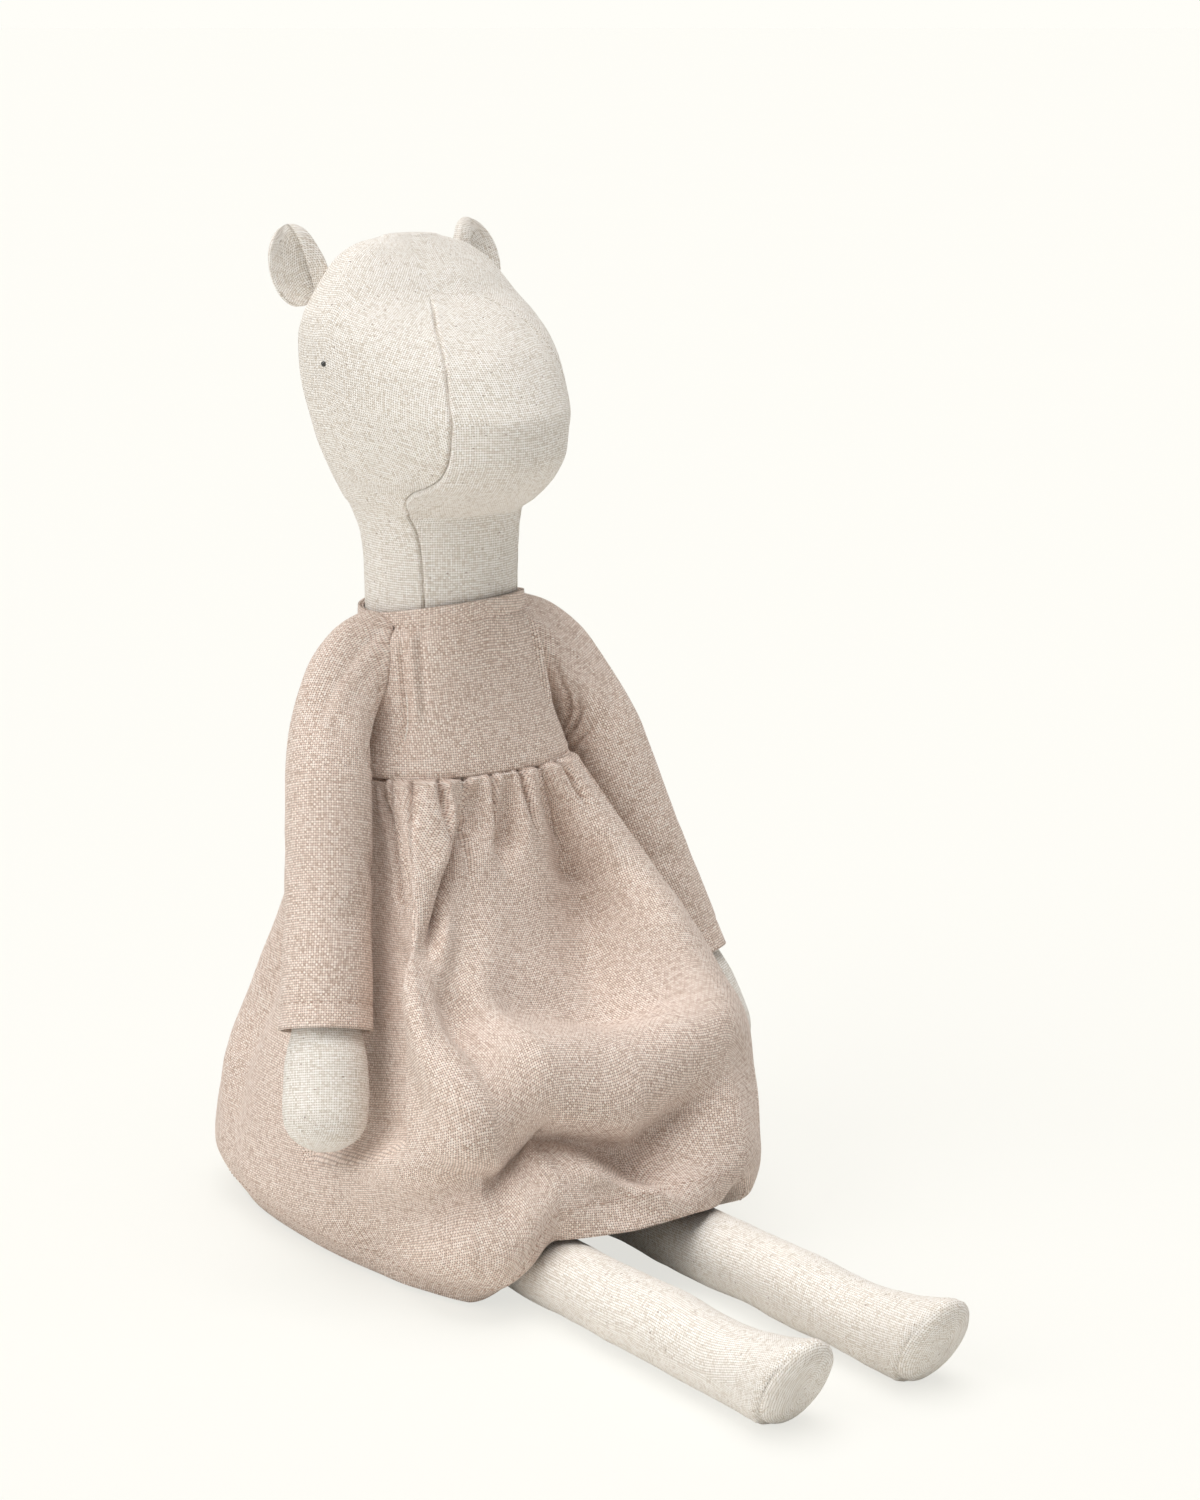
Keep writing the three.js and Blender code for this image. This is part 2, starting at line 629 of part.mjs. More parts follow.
const soleRise = FOOT_HALF_HEIGHT * Math.cos(FOOT_TILT) - HIP_Z;
const footEnd = {
  along: LEG_LENGTH,
  rise: soleRise,
  halfHeight: FOOT_HALF_HEIGHT,
  halfWidth: LEG_RADIUS,
  tilt: FOOT_TILT,
};
const legStations = [
  { along: HIP_SEAM_RADIUS + GAP, rise: 0, halfHeight: 1.5, halfWidth: LEG_RADIUS, tilt: 0 },
  { along: 8, rise: 0, halfHeight: LEG_RADIUS * 0.42, halfWidth: LEG_RADIUS + 0.4, tilt: 0 },
  { along: 20, rise: 0, halfHeight: LEG_RADIUS * 0.88, halfWidth: LEG_RADIUS + 0.4, tilt: 0 },
  { along: 34, rise: 0, halfHeight: LEG_RADIUS, halfWidth: LEG_RADIUS, tilt: 0 },
  { along: LEG_LENGTH * 0.5, rise: 0, halfHeight: LEG_RADIUS, halfWidth: LEG_RADIUS, tilt: 0 },
  { along: LEG_LENGTH - 30, rise: 0, halfHeight: LEG_RADIUS, halfWidth: LEG_RADIUS, tilt: 0 },
  {
    along: LEG_LENGTH - 14,
    rise: soleRise * 0.35,
    halfHeight: THREE.MathUtils.lerp(LEG_RADIUS, FOOT_HALF_HEIGHT, 0.3),
    halfWidth: LEG_RADIUS * 1.03,
    tilt: FOOT_TILT * 0.4,
  },
  {
    along: LEG_LENGTH - 5,
    rise: soleRise * 0.75,
    halfHeight: THREE.MathUtils.lerp(LEG_RADIUS, FOOT_HALF_HEIGHT, 0.78),
    halfWidth: LEG_RADIUS * 1.07,
    tilt: FOOT_TILT * 0.8,
  },
  footEnd,
];
const legRings = legStations.map(legRing);
const soleMiddle = new THREE.Vector3(LEG_SPACING / 2, -HIP_AHEAD - LEG_LENGTH, HIP_Z + soleRise);
const soleWay = new THREE.Vector3(0, -Math.cos(FOOT_TILT), -Math.sin(FOOT_TILT));
const legSkin = gridSurface(legRings, true);

// The sole: an oval panel that stands out from the end of the leg and stays above the ground
function soleRing(share, out) {
  const centre = soleMiddle.clone().addScaledVector(soleWay, out);
  const up = new THREE.Vector3(0, -Math.sin(FOOT_TILT), Math.cos(FOOT_TILT));
  const most = 1 - (out * Math.tan(FOOT_TILT)) / FOOT_HALF_HEIGHT;
  const kept = Math.min(share, most);
  return tubeRing(centre, legAcross, up, LEG_RADIUS * kept, FOOT_HALF_HEIGHT * kept, LEG_POINTS);
}

const sole = tubeSurface(
  [
    soleRing(1, SOLE_SET),
    soleRing(0.97, SOLE_SET + SOLE_CROWN * 0.45),
    soleRing(0.72, SOLE_SET + SOLE_CROWN * 0.85),
    soleRing(0.4, SOLE_SET + SOLE_CROWN),
  ],
  {
    startPole: soleMiddle.clone().addScaledVector(soleWay, SOLE_SET),
    endPole: soleMiddle.clone().addScaledVector(soleWay, SOLE_SET + SOLE_CROWN),
  },
);
for (const { side, turned } of sides) {
  const skin = turned(legSkin);
  addPiece(`leg_${side}_cover`, geometryOf(wall(skin, CLOTH)), materials.skin);
  addPiece(`leg_${side}_filling`, fillingOf(skin), materials.filling);
  addPiece(`foot_sole_${side}`, geometryOf(turned(sole)), materials.skin);
}

// Bodice: a front and two backs, cut out round the shoulders
const BODICE_STEPS = 14; // along a half turn
const bodiceHeights = [
  WAIST_Z, WAIST_Z + BODICE_LENGTH * 0.3, SHOULDER_Z, TORSO_HEIGHT - 5, TORSO_HEIGHT, NECKLINE_Z,
];

// Rows of a dress panel between two turns about the body, from the lowest height up.
function panelRows(heights, ovalAt, fromTurn, toTurn, steps) {
  return heights.map((height) => {
    const row = [];
    for (let i = 0; i <= steps; i += 1) {
      const turn = THREE.MathUtils.lerp(fromTurn, toTurn, i / steps);
      row.push(ovalPoint(ovalAt(height), turn).setZ(height));
    }
    return row;
  });
}

const seamTurn = GAP / CHEST_HALF_WIDTH; // half of the gap at each upright seam
const armholeTool = new THREE.CylinderGeometry(1, 1, 4 * CHEST_HALF_WIDTH, SLEEVE_POINTS);
armholeTool.rotateZ(Math.PI / 2);
armholeTool.scale(1, ARMHOLE_HALF_DEPTH, ARMHOLE_HALF_HEIGHT);
armholeTool.translate(0, ARMHOLE_Y, ARMHOLE_Z);

function bodicePanel(fromTurn, toTurn, steps) {
  const rows = panelRows(
    bodiceHeights,
    bodiceOval,
    fromTurn + seamTurn,
    toTurn - seamTurn,
    steps,
  );
  return cutAway(geometryOf(wall(gridSurface(rows, false), CLOTH)), armholeTool);
}

const halfTurn = Math.PI;
const quarterTurn = Math.PI / 2;
addPiece("bodice_front", bodicePanel(-quarterTurn, quarterTurn, BODICE_STEPS), materials.dress);
addPiece(
  "bodice_back_left",
  bodicePanel(quarterTurn, halfTurn, BODICE_STEPS / 2),
  materials.dress,
);
addPiece(
  "bodice_back_right",
  bodicePanel(halfTurn, halfTurn + quarterTurn, BODICE_STEPS / 2),
  materials.dress,
);

// Neck facing: the turned-in band behind the neckline, open at the back
const facingRows = panelRows(
  [TORSO_HEIGHT + 2 * GAP, NECKLINE_Z - GAP],
  () => torsoOval(TORSO_HEIGHT, GAP + CLOTH),
  -halfTurn + seamTurn,
  halfTurn - seamTurn,
  2 * BODICE_STEPS,
);
addPiece("neck_facing", geometryOf(wall(gridSurface(facingRows, false), CLOTH)), materials.dress);

// Back closure: a button on the right back and a cord loop from the left back that goes round it
const neckBack = torsoBack(TORSO_HEIGHT) + neckEase;
const buttonX = -BUTTON_RADIUS - GAP;
const buttonZ = NECKLINE_Z - BUTTON_DROP;
const button = new THREE.CylinderGeometry(BUTTON_RADIUS, BUTTON_RADIUS, BUTTON_THICKNESS, 20);
button.translate(buttonX, neckBack + GAP + BUTTON_THICKNESS / 2, buttonZ);
addPiece("back_button", button, materials.wood);

const loopRadius = BUTTON_RADIUS + LOOP_WIRE + GAP;
const loopY = neckBack + GAP + LOOP_WIRE;
const loopTurns = [20, 60, 100, 140, 180, 220, 260, 300, 340];
const loopPath = new THREE.CatmullRomCurve3(
  loopTurns.map((degrees) => {
    const turn = THREE.MathUtils.degToRad(degrees);
    return new THREE.Vector3(
      buttonX + loopRadius * Math.cos(turn),
      loopY,
      buttonZ + loopRadius * Math.sin(turn),
    );
  }),
);
const loopSection = new THREE.Shape().absarc(0, 0, LOOP_WIRE, 0, 2 * Math.PI);
const loop = new THREE.ExtrudeGeometry(loopSection, {
  steps: 24,
  curveSegments: 4,
  extrudePath: loopPath,
});
addPiece("button_loop", loop, materials.dress);

// Skirt: gathered into the waist seam, spread over the legs and on the ground behind
const SKIRT_FRONT_STEPS = 42;
const SKIRT_BACK_STEPS = 30;
const SKIRT_ROWS = 13;
const skirtTop = WAIST_Z - GAP;
const waist = bodiceOval(WAIST_Z);
const waistSide = waist.halfWidth + GATHER_DEPTH;
const waistFront = waist.front + GATHER_DEPTH;
const waistBack = waist.back + GATHER_DEPTH;
const hemFront = SKIRT_FRONT_REACH + BODY_MIDDLE;
const hemBack = SKIRT_BACK_REACH - BODY_MIDDLE;

// How far each line down the skirt has gone from the waist's reach to its own fullest. At the front
// it bulges over the lap and draws in below it.
const spreadFront = smooth([
  [0, 0], [0.2, 0.12], [0.4, 0.33], [0.55, 0.6], [0.68, 0.8], [0.78, 0.85], [0.88, 0.87], [1, 1],
]);
const spreadSide = smooth([[0, 0], [0.25, 0.24], [0.5, 0.6], [0.75, 0.94], [0.88, 1], [1, 0.7]]);
const spreadCorner = smooth([[0, 0], [0.25, 0.62], [0.5, 1], [0.75, 0.92], [0.9, 0.76], [1, 0.5]]);
const spreadAhead = smooth([
  [0, 0], [0.25, 0.35], [0.45, 0.71], [0.6, 0.93], [0.75, 1], [0.9, 0.98], [1, 0.87],
]);
const spreadBack = smooth([[0, 0], [0.25, 0.28], [0.5, 0.64], [0.75, 0.95], [0.88, 1], [1, 0.78]]);
const CORNER_OUT = 0.84; // front corners at their widest, as a share of the skirt's half width
const CORNER_AHEAD = 0.86; // front corners at their furthest, as a share of the hem's reach
const SIDE_BACK = 14; // the side seams at the hem, behind the body's middle
const BACK_CORNER = 0.8; // back corners, as a share of the skirt's half width and reach

// The skirt's outline at one height, from the front by the left side and round
function skirtLoop(drop) {
  const grow = THREE.MathUtils.lerp;
  const side = grow(waistSide, SKIRT_HALF_WIDTH, spreadSide(drop));
  const front = grow(waistFront, hemFront, spreadFront(drop));
  const back = grow(waistBack, hemBack, spreadBack(drop));
  const cornerX = grow(waistSide * 0.83, SKIRT_HALF_WIDTH * CORNER_OUT, spreadCorner(drop));
  const cornerY = grow(waistFront * 0.83, hemFront * CORNER_AHEAD, spreadAhead(drop));
  const halfLoop = [
    [0, -front],
    [cornerX, -cornerY],
    [side, SIDE_BACK * spreadBack(drop)],
    [side * BACK_CORNER, back * (BACK_CORNER - 0.08)],
    [0, back],
  ];
  const otherHalf = halfLoop.slice(1, -1).reverse().map(([x, y]) => [-x, y]);
  const points = [...halfLoop, ...otherHalf];
  return new THREE.CatmullRomCurve3(
    points.map(([x, y]) => new THREE.Vector3(x, y + BODY_MIDDLE, 0)),
    true,
  );
}

// Gathers fade from the waist down, broad folds grow, and the hem rides up over the legs.
const gatherFade = smooth([[0, 1], [0.3, 0.6], [0.6, 0]]);
const foldGrow = smooth([[0, 0], [0.3, 0.35], [0.7, 1], [1, 0.75]]);
const legTop = HIP_Z + LEG_RADIUS + HEM_CLEAR + CLOTH;
const legInside = LEG_SPACING / 2 + LEG_RADIUS * 0.3;
const legOutside = LEG_SPACING / 2 + LEG_RADIUS * 2.1;

// The widest that cloth can be at one place and stay inside the sweep of the arms
function insideArms(point) {
  const reach = Math.hypot(point.y - SHOULDER_Y, point.z - SHOULDER_Z);
  return armRoot.x + reach * Math.tan(ARM_OUT) - CUFF_RADIUS / Math.cos(ARM_OUT) - 3 * GAP;
}

function skirtPoint(loop, share, drop) {
  const turn = 2 * Math.PI * share;
  const point = loop.getPoint(((share % 1) + 1) % 1);
  const gathers = GATHER_DEPTH * gatherFade(drop) * Math.cos(GATHERS_AROUND * turn);
  const folds = FOLD_DEPTH * foldGrow(drop) * Math.cos(FOLDS_AROUND * turn + Math.PI);
  const out = new THREE.Vector3(point.x, point.y - BODY_MIDDLE, 0).normalize();
  point.addScaledVector(out, gathers + folds);
  const besideLegs = THREE.MathUtils.smoothstep(Math.abs(point.x), legInside, legOutside);
  const hemHeight =
    Math.cos(turn) > 0 ? THREE.MathUtils.lerp(legTop, HEM_LIFT, besideLegs) : HEM_LIFT;
  point.z = THREE.MathUtils.lerp(skirtTop, hemHeight, drop);
  const widest = Math.max(insideArms(point), waistSide);
  point.x = Math.sign(point.x) * Math.min(Math.abs(point.x), widest);
  return point;
}

function skirtPanel(fromShare, toShare, steps) {
  const rows = [];
  for (let r = 0; r <= SKIRT_ROWS; r += 1) {
    const drop = 1 - r / SKIRT_ROWS;
    const loop = skirtLoop(drop);
    const row = [];
    for (let i = 0; i <= steps; i += 1) {
      row.push(skirtPoint(loop, THREE.MathUtils.lerp(fromShare, toShare, i / steps), drop));
    }
    rows.push(row);
  }
  return geometryOf(wall(gridSurface(rows, false), CLOTH));
}

const sideSeam = 0.25; // where the left side seam is, as a share of the way round
const seamShare = GAP / (4 * SKIRT_HALF_WIDTH); // half of the gap at each side seam
addPiece(
  "skirt_front",
  skirtPanel(-sideSeam + seamShare, sideSeam - seamShare, SKIRT_FRONT_STEPS),
  materials.dress,
);
addPiece(
  "skirt_back",
  skirtPanel(sideSeam + seamShare, 1 - sideSeam - seamShare, SKIRT_BACK_STEPS),
  materials.dress,
);

export default doll;
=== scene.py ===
"""Looks for a seated doll of a hippopotamus, sewn from natural linen, in a linen dress.

Shapes are worked out in millimetres in the part's own frame and turned into metres when a mesh is made.
The doll faces -Y, its left side is +X and +Z is up.
"""

import math

import bpy
import numpy as np
from mathutils import Euler, Matrix, Vector


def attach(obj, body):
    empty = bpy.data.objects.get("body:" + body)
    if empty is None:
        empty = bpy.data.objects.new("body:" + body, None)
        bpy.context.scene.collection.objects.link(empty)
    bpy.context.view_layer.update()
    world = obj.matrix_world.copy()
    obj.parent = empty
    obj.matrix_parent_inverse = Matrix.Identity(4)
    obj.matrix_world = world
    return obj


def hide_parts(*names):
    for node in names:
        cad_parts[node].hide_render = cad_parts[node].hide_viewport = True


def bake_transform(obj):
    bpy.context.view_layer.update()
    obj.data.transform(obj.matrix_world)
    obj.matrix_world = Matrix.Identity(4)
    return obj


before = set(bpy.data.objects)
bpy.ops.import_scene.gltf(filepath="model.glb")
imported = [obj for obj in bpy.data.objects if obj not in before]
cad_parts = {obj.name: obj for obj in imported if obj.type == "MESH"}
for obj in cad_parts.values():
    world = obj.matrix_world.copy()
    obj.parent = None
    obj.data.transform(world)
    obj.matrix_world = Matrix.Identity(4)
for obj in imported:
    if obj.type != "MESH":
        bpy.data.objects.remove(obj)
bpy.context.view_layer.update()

# Sizes, the same as in the part's source

MM = 0.001
CLOTH = 0.8
GAP = 0.3
EASE = 0.7
TORSO_HEIGHT = 184.0
BODY_MIDDLE = -6.5
NECK_RADIUS = 22.6
CHIN_Z = 215.0
HEAD_HEIGHT = 80.0
HEAD_HALF_WIDTH = 38.0
MUZZLE_REACH = 54.0
NAPE_REACH = 33.0
CROWN_BACK = 8.0
EAR_HEIGHT = 24.0
EAR_HALF_WIDTH = 12.5
SHOULDER_Z = 170.0
SHOULDER_Y = -12.0
ARM_LENGTH = 137.5
ARM_RADIUS = 9.8
HAND_HALF_WIDTH = 13.0
HAND_HALF_THICKNESS = 12.0
ARM_OUT = math.radians(12.4)
ARM_LEAN = math.radians(18.0)
LEG_LENGTH = 175.0
LEG_RADIUS = 10.5
LEG_SPACING = 47.0
FOOT_HALF_HEIGHT = 15.4
FOOT_TILT = math.radians(29.0)
SOLE_CROWN = 2.6
SOLE_SET = 0.7
HIP_AHEAD = 31.0
HIP_Z = 10.0
NECKLINE_Z = 189.0
WAIST_Z = 141.0
ARMHOLE_RADIUS = 12.6
SLEEVE_LENGTH = 103.0
CUFF_RADIUS = 13.4
SKIRT_FRONT_REACH = 113.0
SKIRT_BACK_REACH = 70.0
SKIRT_HALF_WIDTH = 62.0
X, Y, Z = np.eye(3)

# Where the left arm hangs, in a frame at the shoulder before it leans forwards

ARM_WAY = np.array([math.sin(ARM_OUT), 0, -math.cos(ARM_OUT)])
ARM_UP = np.array([math.cos(ARM_OUT), 0, math.sin(ARM_OUT)])
ARMHOLE_X = 29.5 + EASE + CLOTH + GAP
BEND = ARMHOLE_RADIUS + 1
BEND_END = np.array([ARMHOLE_X + BEND * math.cos(ARM_OUT), 0, BEND * (math.sin(ARM_OUT) - 1)])
ARM_ROOT = BEND_END + ARM_WAY * BEND_END[2] / math.cos(ARM_OUT)

# Curves, noise and grids


def smooth(pairs):
    """A smooth curve through (place, value) pairs that never overshoots them."""
    xs, ys = np.array(pairs, float).T
    slopes = np.diff(ys) / np.diff(xs)
    before = np.concatenate([slopes[:1], slopes])
    after = np.concatenate([slopes, slopes[-1:]])
    same = before * after > 0
    tangents = np.where(same, 2 * before * after / np.where(same, before + after, 1.0), 0.0)

    def value(x):
        x = np.asarray(x, float)
        i = np.clip(np.searchsorted(xs, x, side="right") - 1, 0, len(xs) - 2)
        span = xs[i + 1] - xs[i]
        t = np.clip((x - xs[i]) / span, 0, 1)
        bend = tangents[i] * t * (1 - t) ** 2 - tangents[i + 1] * t * t * (1 - t)
        return ys[i] + (ys[i + 1] - ys[i]) * t * t * (3 - 2 * t) + span * bend

    return value


def ease(low, high, x):
    """0 up to low, 1 from high on, and smooth between."""
    t = np.clip((np.asarray(x, float) - low) / (high - low), 0, 1)
    return t * t * (3 - 2 * t)


def bump(x, centre, width):
    """A bell of height 1."""
    return np.exp(-((x - centre) / width) ** 2)


def unit(vectors):
    return vectors / np.linalg.norm(vectors, axis=-1, keepdims=True)


def full_turn(count):
    return np.linspace(0, 2 * np.pi, count, endpoint=False)


def runs(*parts):
    """Values one run after another: an array, or (from, to, how many) evenly spaced without the end."""
    parts = (np.linspace(*part, endpoint=False) if isinstance(part, tuple) else part for part in parts)
    return np.concatenate(list(parts))


def closed(points, axis=0):
    """The points with the first repeated at the end."""
    return np.concatenate([points, np.take(points, [0], axis)], axis)


def rings(centre, turn, a, b):
    """Points round ovals about rows of centres. The turn goes from the end of a towards the end of b."""
    c, s = np.cos(turn)[:, None], np.sin(turn)[:, None]
    return centre[..., None, :] + c * a[..., None, :] + s * b[..., None, :]


def lattice(ix, iy, iz, seed):
    n = (ix * 374761393 + iy * 668265263 + iz * 2246822519 + seed * 974634533) & 0xFFFFFFFF
    n = ((n ^ (n >> 13)) * 1274126177) & 0xFFFFFFFF
    return ((n ^ (n >> 16)) & 0xFFFF) / 32767.5 - 1


def noise(points, size, seed=0):
    """Smooth noise from -1 to 1 at an array of points, with lumps of about that size."""
    p = np.asarray(points, float) / size
    base = np.floor(p).astype(np.int64)
    f = p - base
    f = f * f * (3 - 2 * f)
    total = np.zeros(p.shape[:-1])
    for corner in range(8):
        dx, dy, dz = corner & 1, corner >> 1 & 1, corner >> 2 & 1
        weight = np.abs(1 - dx - f[..., 0]) * np.abs(1 - dy - f[..., 1]) * np.abs(1 - dz - f[..., 2])
        total += weight * lattice(base[..., 0] + dx, base[..., 1] + dy, base[..., 2] + dz, seed)
    return total


def noise2(a, b, size, seed=0):
    a, b = np.broadcast_arrays(np.asarray(a, float), np.asarray(b, float))
    return noise(np.stack([a, b, np.zeros_like(a)], -1), size, seed)


def grid_normals(points, wrap):
    along = np.roll(points, -1, 1) - np.roll(points, 1, 1) if wrap else np.gradient(points, axis=1)
    normal = np.cross(along, np.gradient(points, axis=0))
    return normal / np.maximum(np.linalg.norm(normal, axis=-1, keepdims=True), 1e-9)


def push(points, amount, wrap):
    """The grid moved out along its normals, by one distance or one for each point."""
    return points + grid_normals(points, wrap) * np.asarray(amount)[..., None]


def arc_lengths(points, axis):
    steps = np.linalg.norm(np.diff(points, axis=axis), axis=-1)
    start = np.zeros_like(np.take(steps, [0], axis=axis))
    return np.concatenate([start, np.cumsum(steps, axis=axis)], axis=axis)


def row_uv(points, wrap):
    """Cloth coordinates in millimetres: distance along each row from its middle, and height."""
    loop = closed(points, 1) if wrap else points
    along = arc_lengths(loop, 1)
    return np.stack([along - along[:, -1:] * 0.5, arc_lengths(loop, 0)], -1)


def quad_corners(values):
    return np.stack([values[:-1, :-1], values[:-1, 1:], values[1:, 1:], values[1:, :-1]], 2)


def add_object(name, data):
    obj = bpy.data.objects.new(name, data)
    bpy.context.scene.collection.objects.link(obj)
    return obj


def mesh_object(name, points, faces, material):
    """A smooth object of one material, from points in millimetres."""
    mesh = bpy.data.meshes.new(name)
    mesh.from_pydata((points.reshape(-1, 3) * MM).tolist(), [], faces)
    mesh.polygons.foreach_set("use_smooth", np.ones(len(mesh.polygons), bool))
    mesh.materials.append(material)
    mesh.update()
    return add_object(name, mesh)


def grid_object(name, points, material, wrap=False, uv=None, ends=(False, False), keep=None):
    """Quads over a grid of points, with cloth coordinates as the UV map and faces over the ends asked for."""
    rows, cols = points.shape[:2]
    if uv is None:
        uv = row_uv(points, wrap)
    across = np.arange(cols if wrap else cols - 1)[None, :]
    up = np.arange(rows - 1)[:, None]
    a = up * cols + across
    b = up * cols + (across + 1) % cols
    quads = np.stack([a, b, b + cols, a + cols], -1).reshape(-1, 4)
    corners = (uv if uv.ndim == 4 else quad_corners(uv)).reshape(-1, 4, 2)
    if keep is not None:
        kept = keep[:-1, :-1].reshape(-1)
        quads, corners = quads[kept], corners[kept]
    faces = quads.tolist()
    if ends[0]:
        faces.append(list(range(cols))[::-1])
    if ends[1]:
        faces.append(list(range((rows - 1) * cols, rows * cols)))
    obj = mesh_object(name, points, faces, material)
    layer = obj.data.uv_layers.new(name="cloth")
    flat = np.zeros((len(obj.data.loops), 2), np.float32)
    flat[: corners.size // 2] = corners.reshape(-1, 2) / 100
    layer.data.foreach_set("uv", flat.ravel())
    return obj


def solid_object(name, points, material, uv=None):
    """A grid that is closed round and at both ends."""
    return grid_object(name, points, material, wrap=True, uv=uv, ends=(True, True))


def thicken(obj, thickness=CLOTH):
    layer = obj.modifiers.new("cloth", "SOLIDIFY")
    layer.thickness = thickness * MM
    layer.offset = -1.0
    return obj


def mirror_grid(points):
    return (points * np.array([-1.0, 1.0, 1.0]))[:, ::-1]


SIDES = (("left", 1, lambda points: points), ("right", -1, mirror_grid))


def declare(piece, body, slot, *nodes, fill=None):
    """The piece rides on a body and stands for CAD nodes, which are hidden. The slot and the fill are not used.
    """
    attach(piece, body)
    if nodes:
        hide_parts(*nodes)


# Outlines of the stuffed body. The head's are shares of its height, and at each the share of the way
# from the neck's outline to the head's greatest reach ahead, behind and aside.

HEAD_UP = [-0.09, 0, 0.025, 0.05, 0.1, 0.15, 0.25, 0.35, 0.45, 0.55,
           0.63, 0.7, 0.775, 0.85, 0.915, 0.965, 0.992]
HEAD_AHEAD = [0, 0, 0.15, 0.33, 0.6, 0.78, 0.95, 0.96, 0.79, 0.55,
              0.26, -0.09, -0.47, -0.75, -1.03, -1.21, -1.33]
HEAD_BEHIND = [0.17, 0.38, 0.41, 0.47, 0.53, 0.55, 0.65, 0.74, 0.86, 0.96,
               1, 0.96, 0.88, 0.73, 0.54, 0.26, -0.12]
HEAD_ASIDE = [0.03, 0.14, 0.2, 0.29, 0.4, 0.52, 0.71, 0.84, 0.95, 1,
              0.99, 0.9, 0.69, 0.42, 0.12, -0.33, -0.88]
neck_reach = NECK_RADIUS - BODY_MIDDLE
neck_back = NECK_RADIUS + BODY_MIDDLE
head_front = smooth([(-0.38, 0.0)] + list(zip(HEAD_UP, HEAD_AHEAD)))
head_back = smooth([(-0.38, 0.0), (-0.2, 0.03)] + list(zip(HEAD_UP, HEAD_BEHIND)))
head_side = smooth([(-0.38, 0.0), (-0.2, 0.0)] + list(zip(HEAD_UP, HEAD_ASIDE)))
head_middle = smooth([(-0.09, BODY_MIDDLE), (0.05, BODY_MIDDLE + 2), (0.25, 0), (0.5, CROWN_BACK / 2),
                      (0.85, CROWN_BACK / 2 + 1), (1, CROWN_BACK)])


def oval(z, turn, front, back, half_width, middle, square):
    """Points of level ovals. The turn starts at the front and goes by the left side."""
    side, ahead = np.sin(turn), np.cos(turn)
    power = 2 / np.where(ahead > 0, square, 2.0)
    reach = np.where(ahead > 0, front, back)
    x = half_width * np.sign(side) * np.abs(side) ** power
    y = middle - reach * np.sign(ahead) * np.abs(ahead) ** power
    return np.stack([x, y, np.broadcast_to(z, x.shape)], -1)


def head_points(z, turn):
    """Points of the bare head at heights z and turns, both arrays of one shape."""
    up = (z - CHIN_Z) / HEAD_HEIGHT
    middle = head_middle(up)
    front = neck_reach + head_front(up) * (MUZZLE_REACH - neck_reach) + middle
    back = neck_back + head_back(up) * (NAPE_REACH - neck_back) - middle
    half = NECK_RADIUS + head_side(up) * (HEAD_HALF_WIDTH - NECK_RADIUS)
    return oval(z, turn, front, back, half, middle, 2.0)


hip_edge = HIP_AHEAD - 1.1 - GAP
torso_front = smooth([(0, hip_edge - 19), (10, hip_edge), (45, 35.5), (WAIST_Z, 36),
                      (SHOULDER_Z, neck_reach + 1.5), (TORSO_HEIGHT, neck_reach)])
torso_back = smooth([(0, 22), (10, 28), (45, 29), (WAIST_Z, 20), (SHOULDER_Z, neck_back - 2),
                     (TORSO_HEIGHT, neck_back)])
torso_side = smooth([(0, 32), (10, 38), (35, 39), (WAIST_Z, 34), (SHOULDER_Z - ARMHOLE_RADIUS, 29.5),
                     (SHOULDER_Z, 29), (TORSO_HEIGHT - 5, NECK_RADIUS + 4.5), (TORSO_HEIGHT, NECK_RADIUS)])
torso_square = smooth([(0, 3.2), (WAIST_Z, 3), (SHOULDER_Z, 2.5), (TORSO_HEIGHT, 2)])


def torso_points(z, turn, room=0.0):
    front = torso_front(z) + BODY_MIDDLE + room
    back = torso_back(z) - BODY_MIDDLE + room
    return oval(z, turn, front, back, torso_side(z) + room, BODY_MIDDLE, torso_square(z))


def torso_reach(y, z, room):
    """How far the torso, with room round it, goes ahead or behind, and how square its outline is there."""
    ahead = y < BODY_MIDDLE
    reach = np.where(ahead, torso_front(z) + BODY_MIDDLE, torso_back(z) - BODY_MIDDLE) + room
    return reach, np.where(ahead, torso_square(z), 2.0)


bodice_room = smooth([(100, 1.5), (176, 1.5), (186, 2.2), (200, 2.2)])


def bodice_half_width(y, z):
    level, room = np.minimum(z, TORSO_HEIGHT), bodice_room(z)
    reach, power = torso_reach(y, level, room)
    share = np.clip(np.abs(y - BODY_MIDDLE) / reach, 0, 1)
    return (torso_side(level) + room) * (1 - share ** power) ** (1 / power)


# The skirt's outline, before its folds: how far it has spread at shares of the way from the waist to the hem

spread_front = smooth([(0, 0), (0.2, 0.1), (0.4, 0.26), (0.52, 0.49), (0.61, 0.71), (0.7, 0.84), (0.78, 0.87),
                       (0.88, 0.88), (1, 1)])
spread_side = smooth([(0, 0), (0.25, 0.24), (0.5, 0.6), (0.75, 0.94), (0.88, 1), (1, 0.7)])
spread_corner = smooth([(0, 0), (0.25, 0.62), (0.5, 1), (0.75, 0.92), (0.9, 0.76), (1, 0.5)])
spread_far = smooth([(0, 0), (0.25, 0.62), (0.5, 0.97), (0.75, 0.88), (0.9, 0.72), (1, 0.48)])
spread_ahead = smooth([(0, 0), (0.25, 0.35), (0.45, 0.71), (0.6, 0.93), (0.75, 1), (0.9, 0.98), (1, 0.87)])
spread_back = smooth([(0, 0), (0.25, 0.28), (0.5, 0.64), (0.75, 0.95), (0.88, 1), (1, 0.78)])
WAIST_SIDE, WAIST_FRONT, WAIST_BACK = 34.7, 30.2, 27.2
WAIST_CORNER = 0.83  # share of the waist's side and front that its corners reach
